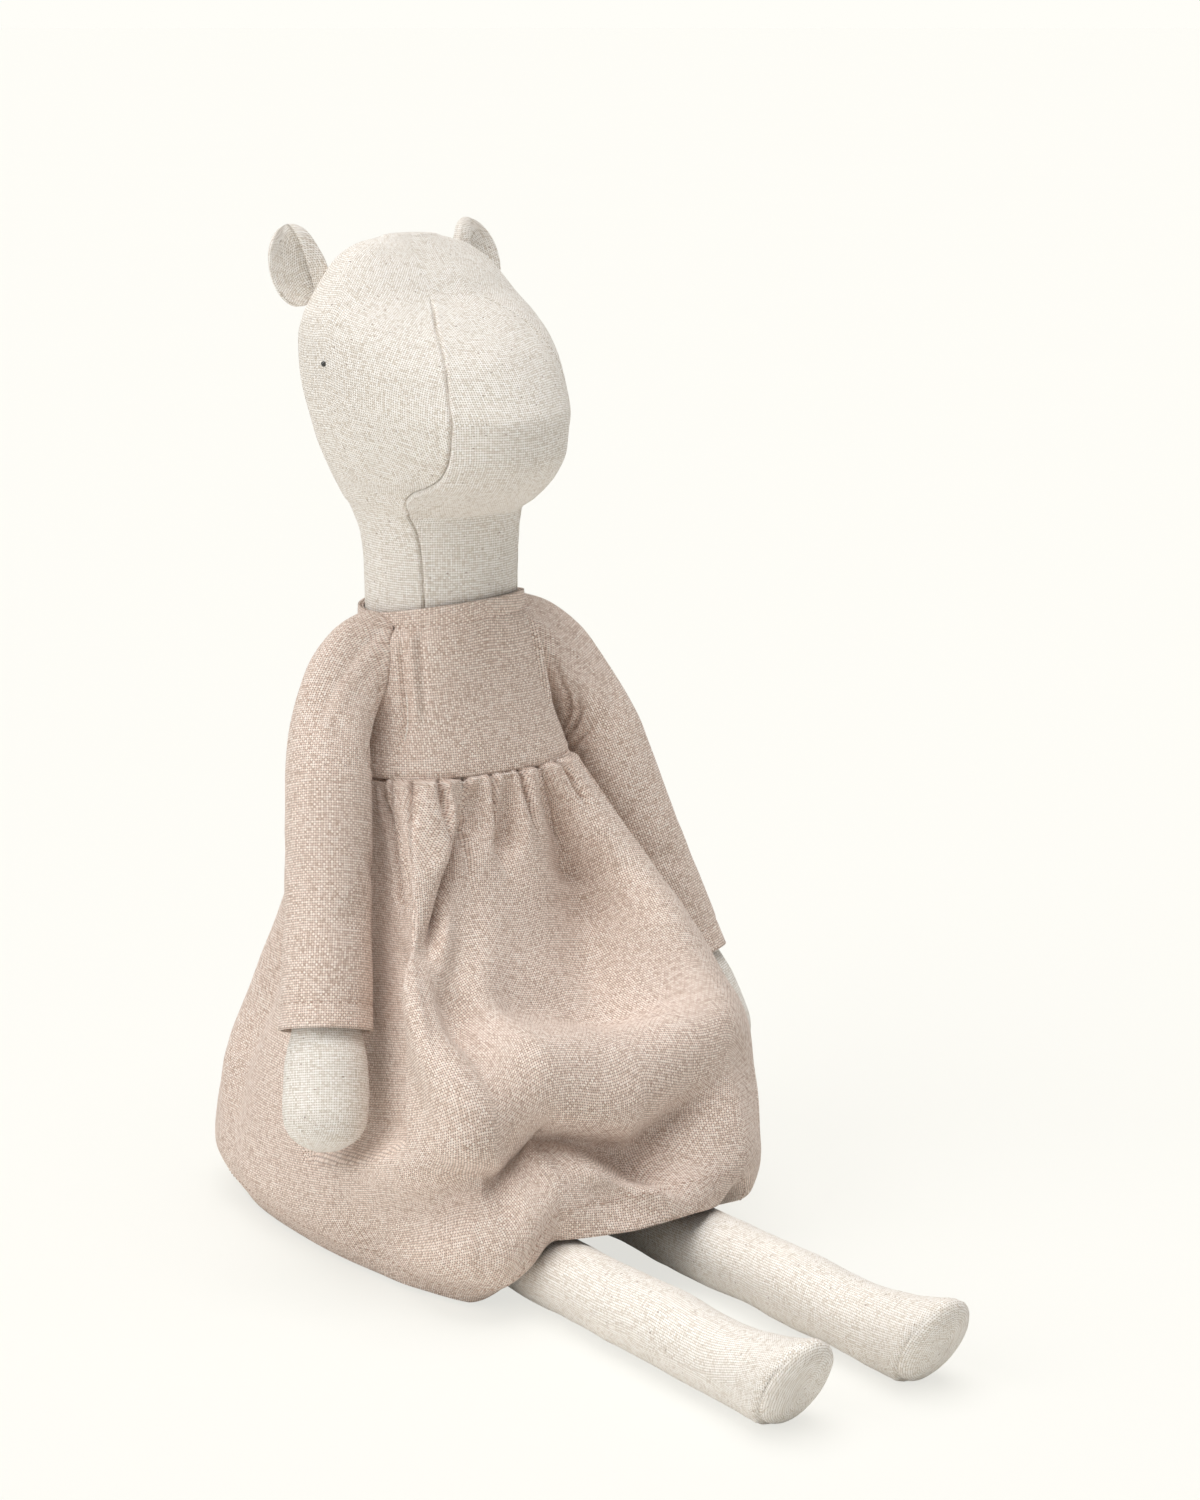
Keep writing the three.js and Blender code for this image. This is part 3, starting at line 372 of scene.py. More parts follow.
LEG_TOP = HIP_Z + LEG_RADIUS + 1.6
WAIST_BEND = 0.02  # share of the drop over which the cloth turns out from the waist's seam
FREE_OF_ARM = 40.0
LEFT_IN, LEFT_HEM_OUT = 3.2, 8.0  # the left side is drawn in, and its hem drops further out


def closed_curve(control, share):
    """A centripetal spline through closed rows of control points, at shares of the way round."""
    n = control.shape[1]
    place = (share % 1.0) * n
    i = np.floor(place).astype(int) % n
    t = (place - np.floor(place))[..., None]
    row = np.arange(control.shape[0])[:, None]
    p0, p1, p2, p3 = (control[row, (i + k) % n] for k in (-1, 0, 1, 2))

    def knot(a, b):
        return np.maximum(np.linalg.norm(b - a, axis=-1, keepdims=True), 1e-6) ** 0.5

    d0, d1, d2 = knot(p0, p1), knot(p1, p2), knot(p2, p3)
    t1 = ((p1 - p0) / d0 - (p2 - p0) / (d0 + d1) + (p2 - p1) / d1) * d1
    t2 = ((p2 - p1) / d1 - (p3 - p1) / (d1 + d2) + (p3 - p2) / d2) * d1
    return p1 + t1 * t + (-3 * p1 + 3 * p2 - 2 * t1 - t2) * t ** 2 + (2 * p1 - 2 * p2 + t1 + t2) * t ** 3


def room_beside_arm(y, z, radius, room):
    """How far out cloth may lie beside a hanging sleeve: freely ahead of it, behind it and past the hand."""
    aside = np.abs((y - SHOULDER_Y) * math.cos(ARM_LEAN) - (z - SHOULDER_Z) * math.sin(ARM_LEAN))
    reach = np.hypot(y - SHOULDER_Y, z - SHOULDER_Z)
    free = np.maximum(ease(CUFF_RADIUS + 5, CUFF_RADIUS + 36, aside), ease(-8, 30, reach - ARM_LENGTH))
    return ARM_ROOT[0] + reach * math.tan(ARM_OUT) - radius / math.cos(ARM_OUT) - room + FREE_OF_ARM * free


def skirt_points(height, share):
    """The skirt without folds. Height is 0 at the waist and 1 at the hem, share goes round from the front."""
    drop = (height - WAIST_BEND * (1 - np.exp(-height / WAIST_BEND))) / (1 - WAIST_BEND)

    def out(waist, most, spread):
        return waist + (most - waist) * spread(drop)

    ahead_most = SKIRT_FRONT_REACH + BODY_MIDDLE
    side = out(WAIST_SIDE, SKIRT_HALF_WIDTH, spread_side)
    front = out(WAIST_FRONT, ahead_most, spread_front)
    back = out(WAIST_BACK, SKIRT_BACK_REACH - BODY_MIDDLE, spread_back)
    corner_x, far_x = (out(WAIST_CORNER * WAIST_SIDE, 0.84 * SKIRT_HALF_WIDTH, spread)
                       for spread in (spread_corner, spread_far))
    corner_y = out(WAIST_CORNER * WAIST_FRONT, 0.86 * ahead_most, spread_ahead)
    seam_y = 14 * spread_back(drop)
    none = np.zeros_like(drop)
    around = [(none, -front), (far_x, -corner_y), (side, seam_y), (0.8 * side, 0.72 * back), (none, back),
              (-0.8 * side, 0.72 * back), (-side, seam_y), (-corner_x, -corner_y)]
    control = np.stack([np.stack(p, -1) for p in around], 1)
    xy = closed_curve(control, np.broadcast_to(share, (len(drop), len(share))))
    x, y = xy[..., 0], xy[..., 1] + BODY_MIDDLE
    height = height[:, None]
    x = x - LEFT_IN * ease(24, 46, x) * bump(height, 0.5, 0.2)
    leg_x = np.where(x > 0, x - LEFT_HEM_OUT, -x)
    beside = ease(LEG_SPACING / 2 + LEG_RADIUS * 0.3, LEG_SPACING / 2 + LEG_RADIUS * 2.1, leg_x)
    hem = np.where(np.cos(2 * np.pi * share) > 0, LEG_TOP + (1 - LEG_TOP) * beside, 1.0)
    top = WAIST_Z + 0.5
    z = top + (hem - top) * height
    widest = room_beside_arm(y, z, CUFF_RADIUS, 2.9)
    x = np.sign(x) * np.minimum(np.abs(x), np.maximum(widest, WAIST_SIDE))
    return np.stack([x, y, z], -1)


# Materials


def srgb(code):
    values = [int(code[i:i + 2], 16) / 255 for i in (1, 3, 5)]
    return tuple(v / 12.92 if v <= 0.04045 else ((v + 0.055) / 1.055) ** 2.4 for v in values) + (1.0,)


class Nodes:
    """The nodes of a material or a world, written as sums."""

    def __init__(self, owner):
        self.owner = owner
        owner.use_nodes = True
        self.tree = owner.node_tree
        self.tree.nodes.clear()

    def add(self, kind, inputs=(), **settings):
        """A shader node with these settings, and with values or links for pairs of (input, value)."""
        node = self.tree.nodes.new(f"ShaderNode{kind}")
        for key, value in settings.items():
            setattr(node, key, value)
        for key, value in inputs:
            self.feed(node.inputs[key], value)
        return node

    def feed(self, socket, value):
        if isinstance(value, bpy.types.NodeSocket):
            self.tree.links.new(value, socket)
        else:
            socket.default_value = value

    def math(self, operation, *values):
        return self.add("Math", enumerate(values), operation=operation).outputs[0]

    def times(self, a, b):
        return self.math("MULTIPLY", a, b)

    def scaled(self, value, by, plus):
        return self.math("MULTIPLY_ADD", value, by, plus)

    def mix(self, share, a, b, blend="MIX"):
        inputs = ((0, share), (6, a), (7, b))
        return self.add("Mix", inputs, data_type="RGBA", blend_type=blend).outputs[2]

    def lerp(self, share, a, b):
        return self.add("Mix", ((0, share), (2, a), (3, b)), data_type="FLOAT").outputs[0]

    def vector(self, x, y):
        return self.add("CombineXYZ", ((0, x), (1, y))).outputs[0]

    def place(self):
        return self.add("TexCoord").outputs["Object"]

    def noise(self, vector, scale, detail=2.0, dimensions="3D"):
        inputs = (("Vector", vector), ("Scale", scale), ("Detail", detail))
        return self.add("TexNoise", inputs, noise_dimensions=dimensions).outputs["Fac"]

    def ramp(self, value, low, high):
        inputs = (("Value", value), ("From Min", low), ("From Max", high))
        return self.add("MapRange", inputs, interpolation_type="SMOOTHSTEP").outputs["Result"]

    def surface(self, colour, roughness, height=None, strength=0.5, distance=0.0002, **sockets):
        inputs = [("Base Color", colour), ("Roughness", roughness)]
        inputs += [(name.replace("_", " "), value) for name, value in sockets.items()]
        if height is not None:
            relief = (("Strength", strength), ("Distance", distance), ("Height", height))
            inputs.append(("Normal", self.add("Bump", relief).outputs["Normal"]))
        return self.finish(self.add("BsdfPrincipled", inputs))

    def mix_shaders(self, share, a, b):
        return self.add("MixShader", ((0, share), (1, a.outputs[0]), (2, b.outputs[0])))

    def finish(self, shader, kind="Material"):
        self.add(f"Output{kind}", (("Surface", shader.outputs[0]),))
        return self.owner


def new_material(name):
    return Nodes(bpy.data.materials.new(name))


THREAD_PITCH = 0.715  # millimetres between threads


def linen(name, fleck_share, *codes):
    """Plain woven linen on the cloth coordinates: threads over and under, slubs, flecks and uneven yarn, with
    painted shade in the gaps between threads and at each thread's edges.
    """
    warp, weft, painted_gap_shade, pale, dark, fleck = (srgb(code) for code in codes)
    n = new_material(name)
    uv = n.add("UVMap", uv_map="cloth").outputs[0]
    wander = n.noise(uv, 9.0, 1.0)
    parts = n.add("SeparateXYZ", ((0, uv),))
    count = 100 / THREAD_PITCH
    u = n.scaled(parts.outputs[0], count, n.times(wander, 0.9))
    v = n.scaled(parts.outputs[1], count, n.times(wander, -0.8))
    warp_number, weft_number = n.math("FLOOR", u), n.math("FLOOR", v)
    over = n.math("PINGPONG", n.math("ADD", warp_number, weft_number), 1.0)
    a, b = (n.math("SINE", n.times(n.math("FRACT", place), math.pi)) for place in (u, v))
    across, along = n.lerp(over, b, a), n.lerp(over, a, b)
    height = n.times(n.math("POWER", across, 0.7), n.scaled(along, 0.35, 0.65))
    # The gaps where threads cross, which get painted shade below.
    gap = n.ramp(n.math("MAXIMUM", a, b), 0.8, 0.35)

    def yarn(stretch, weft_seed, warp_seed):
        def along_one(number, along, seed):
            place = n.vector(n.scaled(number, 0.731, seed), n.times(along, stretch))
            return n.noise(place, 1.0, 2.0, "2D")

        return n.lerp(over, along_one(weft_number, u, weft_seed), along_one(warp_number, v, warp_seed))

    tone, slub = yarn(0.3, 13.7, 71.3), yarn(0.05, 213.1, 171.9)
    thick = n.ramp(slub, 0.6, 0.78)
    colour = n.mix(over, weft, warp)
    # The last tint is painted shade, darkening each thread towards its edges; the others are uneven yarn.
    tints = ((n.ramp(tone, 0.45, 0.8), 0.7, pale), (n.ramp(tone, 0.55, 0.25), 0.7, dark), (thick, 0.4, pale),
             (n.ramp(slub, 0.4, 0.28), 0.35, dark), (n.ramp(across, 0.6, 0.0), 0.32, dark))
    for where, strength, tint in tints:
        colour = n.mix(n.times(where, strength), colour, tint)
    # Painted shade: the gaps between threads take the dark gap colour.
    colour = n.mix(gap, colour, painted_gap_shade)
    spread = n.vector(n.times(u, 0.12), n.times(v, 0.19))
    spots = n.add("TexVoronoi", (("Vector", spread), ("Scale", 1.0)), voronoi_dimensions="2D")
    chosen = n.add("SeparateColor", ((0, spots.outputs["Color"]),))
    size = n.scaled(chosen.outputs[1], 0.055, 0.02)
    near = n.ramp(n.math("SUBTRACT", size, spots.outputs["Distance"]), 0.0, 0.02)
    kept = n.math("LESS_THAN", chosen.outputs[0], fleck_share)
    colour = n.mix(n.times(n.times(near, kept), n.scaled(tone, 0.9, 0.2)), colour, fleck)
    shade = n.scaled(n.noise(n.place(), 38.0, 3.0), 0.14, 0.93)
    grey = n.add("CombineColor", ((0, shade), (1, shade), (2, shade)))
    colour = n.mix(1.0, colour, grey.outputs[0], "MULTIPLY")
    raised = n.math("ADD", height, n.math("ADD", n.times(tone, 0.5), n.times(thick, 0.5)))
    return n.surface(colour, n.scaled(tone, 0.12, 0.82), raised, 0.5, 0.0002, Sheen_Weight=0.1,
                     Sheen_Roughness=0.6, Specular_IOR_Level=0.2)


# Colours: warp, weft, painted shade for the gaps between threads, pale tint, dark tint (for uneven yarn and for
# painted shade at thread edges) and flecks.
SKIN = linen("natural_linen", 0.55, "#FBF7F1", "#F4EFE8", "#A89B8B", "#FFFDFA", "#CFC3B4", "#7A5A40")
DRESS = linen("dress_linen", 0.1, "#F6E8DD", "#E5CFC2", "#7C6255", "#FDF5ED", "#B69A88", "#80655A")


def thread_material(name, pale, dark):
    n = new_material(name)
    inputs = (("Vector", n.place()), ("Scale", 1400.0), ("Distortion", 2.0))
    twist = n.add("TexWave", inputs, wave_type="BANDS", bands_direction="DIAGONAL").outputs["Fac"]
    colour = n.mix(twist, srgb(dark), srgb(pale))
    return n.surface(colour, n.scaled(twist, -0.15, 0.85), twist, 0.4, 0.0001)


SKIN_THREAD = thread_material("seam_thread", "#E9E1D2", "#BBAF9B")
DRESS_THREAD = thread_material("dress_thread", "#C9AC9C", "#A28676")


def bead_material():
    n = new_material("eye_bead")
    cloud = n.noise(n.place(), 2500.0)
    colour = n.mix(cloud, srgb("#050505"), srgb("#1C1A19"))
    return n.surface(colour, n.scaled(cloud, 0.12, 0.1), Coat_Weight=0.6, Coat_Roughness=0.08)


def wood_material():
    n = new_material("button_wood")
    place = n.add("Mapping", (("Vector", n.place()), ("Scale", (260.0, 260.0, 1600.0))))
    grain = n.noise(place.outputs[0], 1.0, 4.0)
    colour = n.mix(n.ramp(grain, 0.3, 0.7), srgb("#A8713F"), srgb("#D19A61"))
    return n.surface(colour, n.scaled(grain, 0.2, 0.4), grain, 0.25, 0.0001, Coat_Weight=0.15)


BEAD = bead_material()
WOOD = wood_material()

# Camera and studio

BACKGROUND = srgb("#FFFEF8")
AMBIENT = 0.26
LAMPS = (("overhead", 2.2, (0.0, 0.02, -1.0)), ("aside", 1.2, (0.85, 0.0, -0.53)))
LAMP_SIZE = math.radians(50)
FLOOR_GLOW = 0.72  # how much of the floor is seen as background


def turned_to(way):
    return Vector(way).to_track_quat("-Z", "Y").to_euler()


def place_camera():
    turn, distance, height = math.radians(-32.864), 0.96923, 0.3555
    yaw, pitch, focal = math.radians(-3.025), math.radians(12.536), 3274.93
    sensor, pixels = 36.0, 1500
    facing = turn + yaw
    data = bpy.data.cameras.new("camera")
    data.sensor_width = sensor
    data.lens = sensor * focal / pixels
    data.clip_start = 0.01
    camera = add_object("camera", data)
    camera.location = (distance * math.sin(turn), -distance * math.cos(turn), height)
    camera.rotation_euler = turned_to((-math.sin(facing) * math.cos(pitch), math.cos(facing) * math.cos(pitch),
                                       -math.sin(pitch)))
    bpy.context.scene.camera = camera


def seen_directly(n):
    """1 for rays that show the background: from the camera, or by reflection or through glass."""
    path = n.add("LightPath").outputs
    mirrored = n.math("MAXIMUM", path["Is Camera Ray"], path["Is Glossy Ray"])
    return n.math("MAXIMUM", mirrored, path["Is Transmission Ray"])


def make_world():
    world = bpy.data.worlds.new("studio")
    bpy.context.scene.world = world
    n = Nodes(world)
    light = n.add("Background", (("Color", (1.0, 0.99, 0.98, 1.0)), ("Strength", AMBIENT)))
    seen = n.add("Background", (("Color", BACKGROUND),))
    n.finish(n.mix_shaders(seen_directly(n), light, seen), "World")
    for name, strength, way in LAMPS:
        data = bpy.data.lights.new(name, "SUN")
        data.energy = strength
        data.angle = LAMP_SIZE
        data.color = (1.0, 0.99, 0.975)
        add_object(name, data).rotation_euler = turned_to(way)


def make_floor():
    n = new_material("floor")
    colour = n.mix(n.noise(n.place(), 3.0), srgb("#ECEBE6"), srgb("#EEEDE8"))
    matt = n.add("BsdfDiffuse", (("Color", colour),))
    glow = n.add("Emission", (("Color", BACKGROUND),))
    floor = n.finish(n.mix_shaders(n.times(seen_directly(n), FLOOR_GLOW), matt, glow))
    radii = np.array([200000.0, 6000.0, 600.0, 50.0])[:, None]
    points = rings(0 * radii - 0.4 * Z, full_turn(96), -radii * Y, radii * X)
    grid_object("floor", points, floor, wrap=True, ends=(False, True))


bpy.context.scene.view_settings.view_transform = "Standard"
place_camera()
make_world()
make_floor()

# Helpers for the sewn pieces


def groove(distance, depth, width):
    """A seam line: a narrow furrow with the cloth swelling a little on both sides of it."""
    swell = bump(np.abs(distance), 3.2 * width, 2.2 * width)
    return -depth * bump(distance, 0, width) + 0.22 * depth * swell


def apart(turn, place):
    """Angle between turns and one place, on the shorter way round."""
    return np.abs(np.angle(np.exp(1j * (turn - place))))


def puckers(along, spacing, seed):
    """Uneven pull of the stitches along a seam, about 1."""
    return 1 + 0.35 * noise2(along, seed * 7.7, spacing, seed)


def clustered(count):
    """Shares from 0 up to 1, closer together at both ends."""
    s = np.arange(count) / count
    return 0.15 * s + 0.85 * (0.5 - 0.5 * np.cos(np.pi * s))


def stitches(name, path, out, length=1.6, gap=1.1, radius=0.17):
    """Short stitches along a path, each dipping into the cloth at both ends, as one mesh."""
    places = arc_lengths(path[None], 1)[0]
    starts = np.arange(gap, places[-1] - length, length + gap)
    rows, sides = 7, 6
    steps = np.linspace(0, 1, rows)
    at = starts[:, None] + steps[None] * length
    centre, lift = (np.stack([np.interp(at, places, line[:, k]) for k in range(3)], -1) for line in (path, out))
    lift = unit(lift)
    side = np.cross(unit(np.gradient(centre, axis=1)), lift)
    arch = np.sin(np.pi * steps)[:, None]
    centre = centre + lift * (radius * (1.5 * arch - 1.0))
    thick = radius * (0.45 + 0.55 * np.sqrt(arch.clip(0)))
    points = rings(centre, full_turn(sides), side * thick, lift * thick)
    faces = []
    for first in range(0, len(starts) * rows * sides, rows * sides):
        for row in range(first, first + (rows - 1) * sides, sides):
            for c in range(sides):
                a, b = row + c, row + (c + 1) % sides
                faces.append((a, a + sides, b + sides, b))
        faces.append(tuple(first + c for c in range(sides)))
        faces.append(tuple(first + (rows - 1) * sides + c for c in reversed(range(sides))))
    return mesh_object(name, points, faces, DRESS_THREAD)


def tube_grid(path, radius, sides=12):
    """Rings of one radius, or one for each point, along a path."""
    way = unit(np.gradient(path, axis=0))
    side = unit(np.cross(way, Z if abs(way[:, 2]).mean() < 0.8 else Y))
    radius = np.broadcast_to(radius, len(path))[:, None]
    return rings(path, full_turn(sides), side * radius, -np.cross(side, way) * radius)


# Head and neck: a front panel between two shaped seams, and two side panels that meet at the back

seam_turn = smooth([(178, 45.5), (190, 46), (202.8, 47.5), (211.9, 49.5), (216.4, 53), (220.6, 56.5),
                    (222.9, 53.5), (225.5, 45), (228.5, 40.2), (233.1, 37.5), (243.3, 34.2), (256.5, 29),
                    (269.8, 21.8), (277.4, 14.5), (281, 13), (296, 12)])
FRONT_COLUMNS, SIDE_COLUMNS = 64, 76
# Each panel's first column, the next one's first, and the column that its threads are straight along
PANELS = ((0, 64, 32), (64, 140, 96), (140, 216, 184))
CROWN_RISE = 0.64


def make_head():
    crown = CHIN_Z + HEAD_HEIGHT * (0.8375 + 0.1545 * np.linspace(0, 1, 30) ** 0.7)
    z = runs((180, 206, 20), (206, 214, 14), (214, 232, 50), (232, 282, 60), crown)
    seam = np.radians(seam_turn(z))[:, None]
    further = seam * (1 + 0.42 * ease(212, 226, z))[:, None]
    turn = np.concatenate([-seam + (seam + further) * clustered(FRONT_COLUMNS),
                           further + (np.pi - further) * clustered(SIDE_COLUMNS),
                           np.pi + (np.pi - seam) * clustered(SIDE_COLUMNS)], 1)
    points = head_points(z[:, None] + 0 * turn, turn)
    middle = np.array([0, CROWN_BACK, points[-1, 0, 2]])
    rim = points[-1] - middle
    for angle in np.linspace(0.1, 0.985, 12) * np.pi / 2:
        row = rim * np.cos(angle) + middle
        row[:, 2] += CROWN_RISE * np.sin(angle)
        points = np.concatenate([points, row[None]])
    z = points[:, :1, 2]
    along = arc_lengths(closed(points, 1), 1)
    whole, place = along[:, -1:], along[:, :-1]
    seams = [along[:, first:first + 1] for first, last, straight in PANELS]

    def from_seam(start):
        gap = np.abs(place - start)
        return np.minimum(gap, whole - gap)

    front_end, back_end = 1 - ease(275.5, 279.5, z), 1 - ease(288, 293, z)
    amount = np.zeros(place.shape)
    for k, (depth, fade) in enumerate(((1.1, front_end), (1.1, front_end), (0.45, back_end))):
        amount += groove(from_seam(seams[k]), depth, 0.36) * fade * puckers(z, 2.6, k + 3)
    tuck = ease(216, 222, z) * (1 - ease(229, 238, z))
    near = np.minimum(from_seam(seams[0]), from_seam(seams[1]))
    amount += tuck * np.where(place < seams[1], 0.9 * bump(near, 0, 9), -1.5 * np.exp(-near / 6))
    ahead = np.arctan2(points[..., 0], -(points[..., 1] - 4))
    amount -= 1.4 * bump(z, 280, 5) * bump(ahead, 0, 1.25)
    amount += 0.45 * noise(points, 26, 1) + 0.16 * noise(points, 9, 2)
    points = push(points, amount * (1 - ease(293.5, 294.9, z)), True)
    loop = closed(points, 1)
    along, up = arc_lengths(loop, 1), arc_lengths(loop, 0)
    corners = np.zeros((len(z) - 1, place.shape[1], 4, 2))
    for first, last, straight in PANELS:
        flat = np.stack([along - along[:, straight:straight + 1], up], -1)
        corners[:, first:last] = quad_corners(flat[:, first:last + 1])
    head = solid_object("head", points, SKIN, corners)
    declare(head, "torso", "natural_linen", "head_cover", "head_filling", fill=0.95)
    return points


head_grid = make_head()

# Ears: two layers turned right side out, cupped, with the inner edge folded forwards

EAR_ROOT = np.array([26.0, CROWN_BACK + 12, CHIN_Z + 60])
EAR_TURN = (-14, 14, 16)  # degrees about x, y and z
EAR_ROUNDS = 0.86  # share of its height from which the ear gets thinner


def ear_grid():
    ups = runs((0, 0.8, 34), 0.8 + 0.199 * np.sin(np.linspace(0, 1, 22) * np.pi / 2))
    wave = np.cos(np.linspace(0, np.pi, 41))
    across = np.concatenate([-wave, wave[1:-1]])
    fine = np.linspace(-1, 1, 401)
    step = fine[1] - fine[0]
    angle = 0.75 * fine - 2.0 * (1 - ease(-0.6, -0.48, fine))
    layer = np.where(np.arange(len(across)) <= 40, 1.0, -1.0)
    layer[[0, 40]] = 0.0
    edge = np.sqrt(np.clip(1 - across ** 6, 0, 1))
    rim = groove(1 - np.abs(across), 0.16, 0.03)
    rows = []
    for up in ups:
        half = EAR_HALF_WIDTH * (0.8 * np.sqrt(np.clip(1 - (2 * up - 1) ** 2, 0, 1)) + 0.36 * (1 - up))
        psi = angle * (1.25 - 0.25 * up)
        x, y = np.cumsum(np.cos(psi)) * step * half, -np.cumsum(np.sin(psi)) * step * half
        x, y = x - np.interp(0, fine, x), y - np.interp(0, fine, y)
        px, py, turn = (np.interp(across, fine, w) for w in (x, y, psi))
        left = max(1 - (up - EAR_ROUNDS) / (1 - EAR_ROUNDS), 0.02)
        offset = layer * ((0.95 * edge + 0.12) * min(1.0, math.sqrt(left)) + 0.2 * rim)
        level = np.full(len(across), up * EAR_HEIGHT)
        rows.append(np.stack([px + offset * np.sin(turn), py + offset * np.cos(turn), level], -1))
    points = np.array(rows)
    points = push(points, 0.22 * noise(points, 5, 5), True)
    return points @ np.array(Euler(np.radians(EAR_TURN), "ZYX").to_matrix()).T + EAR_ROOT


def make_ears():
    left = ear_grid()[:, ::-1]
    for side, sign, flip in SIDES:
        ear = solid_object(f"ear_{side}_cloth", flip(left), SKIN)
        declare(ear, "torso", "natural_linen", f"ear_{side}", fill=0.3)


EYE_Y, EYE_Z = -4.2, CHIN_Z + 44.3
EYE_RADIUS, EYE_RISE, EYE_OUT = 0.82, 0.7, 0.2


def make_eyes():
    turn, lift = full_turn(28), np.linspace(-0.35, 0.5 * np.pi - 0.03, 16)
    away = np.hypot(head_grid[..., 1] - EYE_Y, head_grid[..., 2] - EYE_Z)
    normals = grid_normals(head_grid, True)
    for side, sign, flip in SIDES:
        gap = away + 100 * (head_grid[..., 0] * sign < 0)
        place = np.unravel_index(np.argmin(gap), gap.shape)
        centre, out = head_grid[place], normals[place]
        a = unit(np.cross(out, Z))
        rise, size = (EYE_OUT + EYE_RISE * np.sin(lift))[:, None], EYE_RADIUS * np.cos(lift)[:, None]
        points = rings(centre + out * rise, turn, a * size, np.cross(out, a) * size)
        eye = solid_object(f"eye_{side}_bead", points[:, ::-1], BEAD)
        declare(eye, "torso", "eye_bead", f"eye_{side}")


make_ears()
make_eyes()

# Torso, under the dress


def make_torso():
    z = runs(10 * (1 - np.cos(np.linspace(0, np.pi / 2, 12))), np.linspace(12, 184.2, 70))
    turn = full_turn(120)
    points = torso_points(z[:, None] + 0 * turn, turn + 0 * z[:, None])
    from_left, from_right = (np.abs(np.sin((turn - side * np.pi / 2) / 2)) for side in (1, -1))
    seams = groove(30 * np.minimum(from_left, from_right), 0.5, 1.0)[None]
    points = push(points, seams - 0.3 + 0.3 * noise(points, 20, 8), True)
    points[..., 2] = np.maximum(points[..., 2], 0.0)
    torso = solid_object("torso", points, SKIN)
    declare(torso, "torso", "natural_linen", "torso_cover", "torso_filling", fill=0.9)


make_torso()

# Arms and sleeves, made for the left side in a frame at the shoulder that leans forwards

SHOULDER = np.array([0, SHOULDER_Y, SHOULDER_Z])
FORWARDS = np.array(Matrix.Rotation(ARM_LEAN, 3, "X"))
ARMHOLE_Y, ARMHOLE_Z = -8.5, 171.6
ARMHOLE_HALF_DEPTH, ARMHOLE_HALF_HEIGHT = 11.6, 15.4
CAP_LENGTH = 32.0  # from the shoulder to where the sleeve runs straight
HAND_ROUND = 14.0  # length of the hand's rounded end
CUFF_STITCHES = 7.5  # from the cuff up to its stitches
ARM_SEAM = math.radians(300)
PAD_ENDS, PAD_RADIUS = (24.5, 37.0), 6.0
# Creases of a sleeve: from (degrees round, millimetres down) to the same, then depth and width.
# 90 degrees is the outside of the arm, 180 the front and 270 the side to the body.
SLEEVE_CREASES = [
    (176, 8, 258, 24, 2.4, 1.7), (190, 18, 272, 32, 2.6, 1.6), (205, 30, 282, 39, 2.0, 1.7),
    (226, 40, 290, 46, 1.3, 1.8), (10, 14, -70, 30, 2.0, 2.0), (285, 30, 355, 20, 1.8, 2.0),
    (120, 24, 190, 34, 0.7, 3.0), (60, 60, 130, 72, 0.6, 4.0), (200, 62, 260, 70, 0.9, 3.0),
    (150, 84, 220, 80, 0.6, 3.5),
]


def arm_rings(along, half_across, half_up, turn):
    """Rings round the arm's line at distances along it: across is along Y."""
    return rings(ARM_ROOT + along[:, None] * ARM_WAY, turn, half_across[:, None] * Y, half_up[:, None] * ARM_UP)


def lean(points):
    return points @ FORWARDS + SHOULDER


def arm_grid():
    """The left arm. Its top is slim, so that the sleeve can turn over it."""
    r, round_from = ARM_RADIUS, ARM_LENGTH - HAND_ROUND
    tip = round_from + HAND_ROUND * np.sin(np.linspace(0, 0.995, 30) * np.pi / 2)
    along = runs((1, 8, 14), (8, round_from, 80), tip)
    round_end = np.clip(1 - ((along - round_from) / HAND_ROUND).clip(0) ** 2.7, 0, 1) ** 0.5

    def half(above, below, hand):
        sizes = [(1, 0.3 * r), (3.5, 0.4 * r), (10, 0.46 * r), (26, above * r), (42, below * r),
                 (63.45, 0.97 * r), (ARM_LENGTH - 39, 0.95 * r), (ARM_LENGTH - 24, hand - 0.4),
                 (round_from, hand), (ARM_LENGTH, 0)]
        return np.where(along > round_from, hand * round_end, smooth(sizes)(along))

    turn = full_turn(88)
    points = arm_rings(along, half(0.6, 0.86, HAND_HALF_WIDTH), half(0.62, 0.88, HAND_HALF_THICKNESS), turn)
    amount = groove(apart(turn, ARM_SEAM) * r, 0.5, 0.6)[None] * puckers(along, 3, 6)[:, None]
    amount = amount + 0.45 * noise(points, 17, 11) + 0.15 * noise(points, 6, 12)
    return lean(push(points, amount * (1 - ease(ARM_LENGTH - 1.5, ARM_LENGTH, along))[:, None], True))


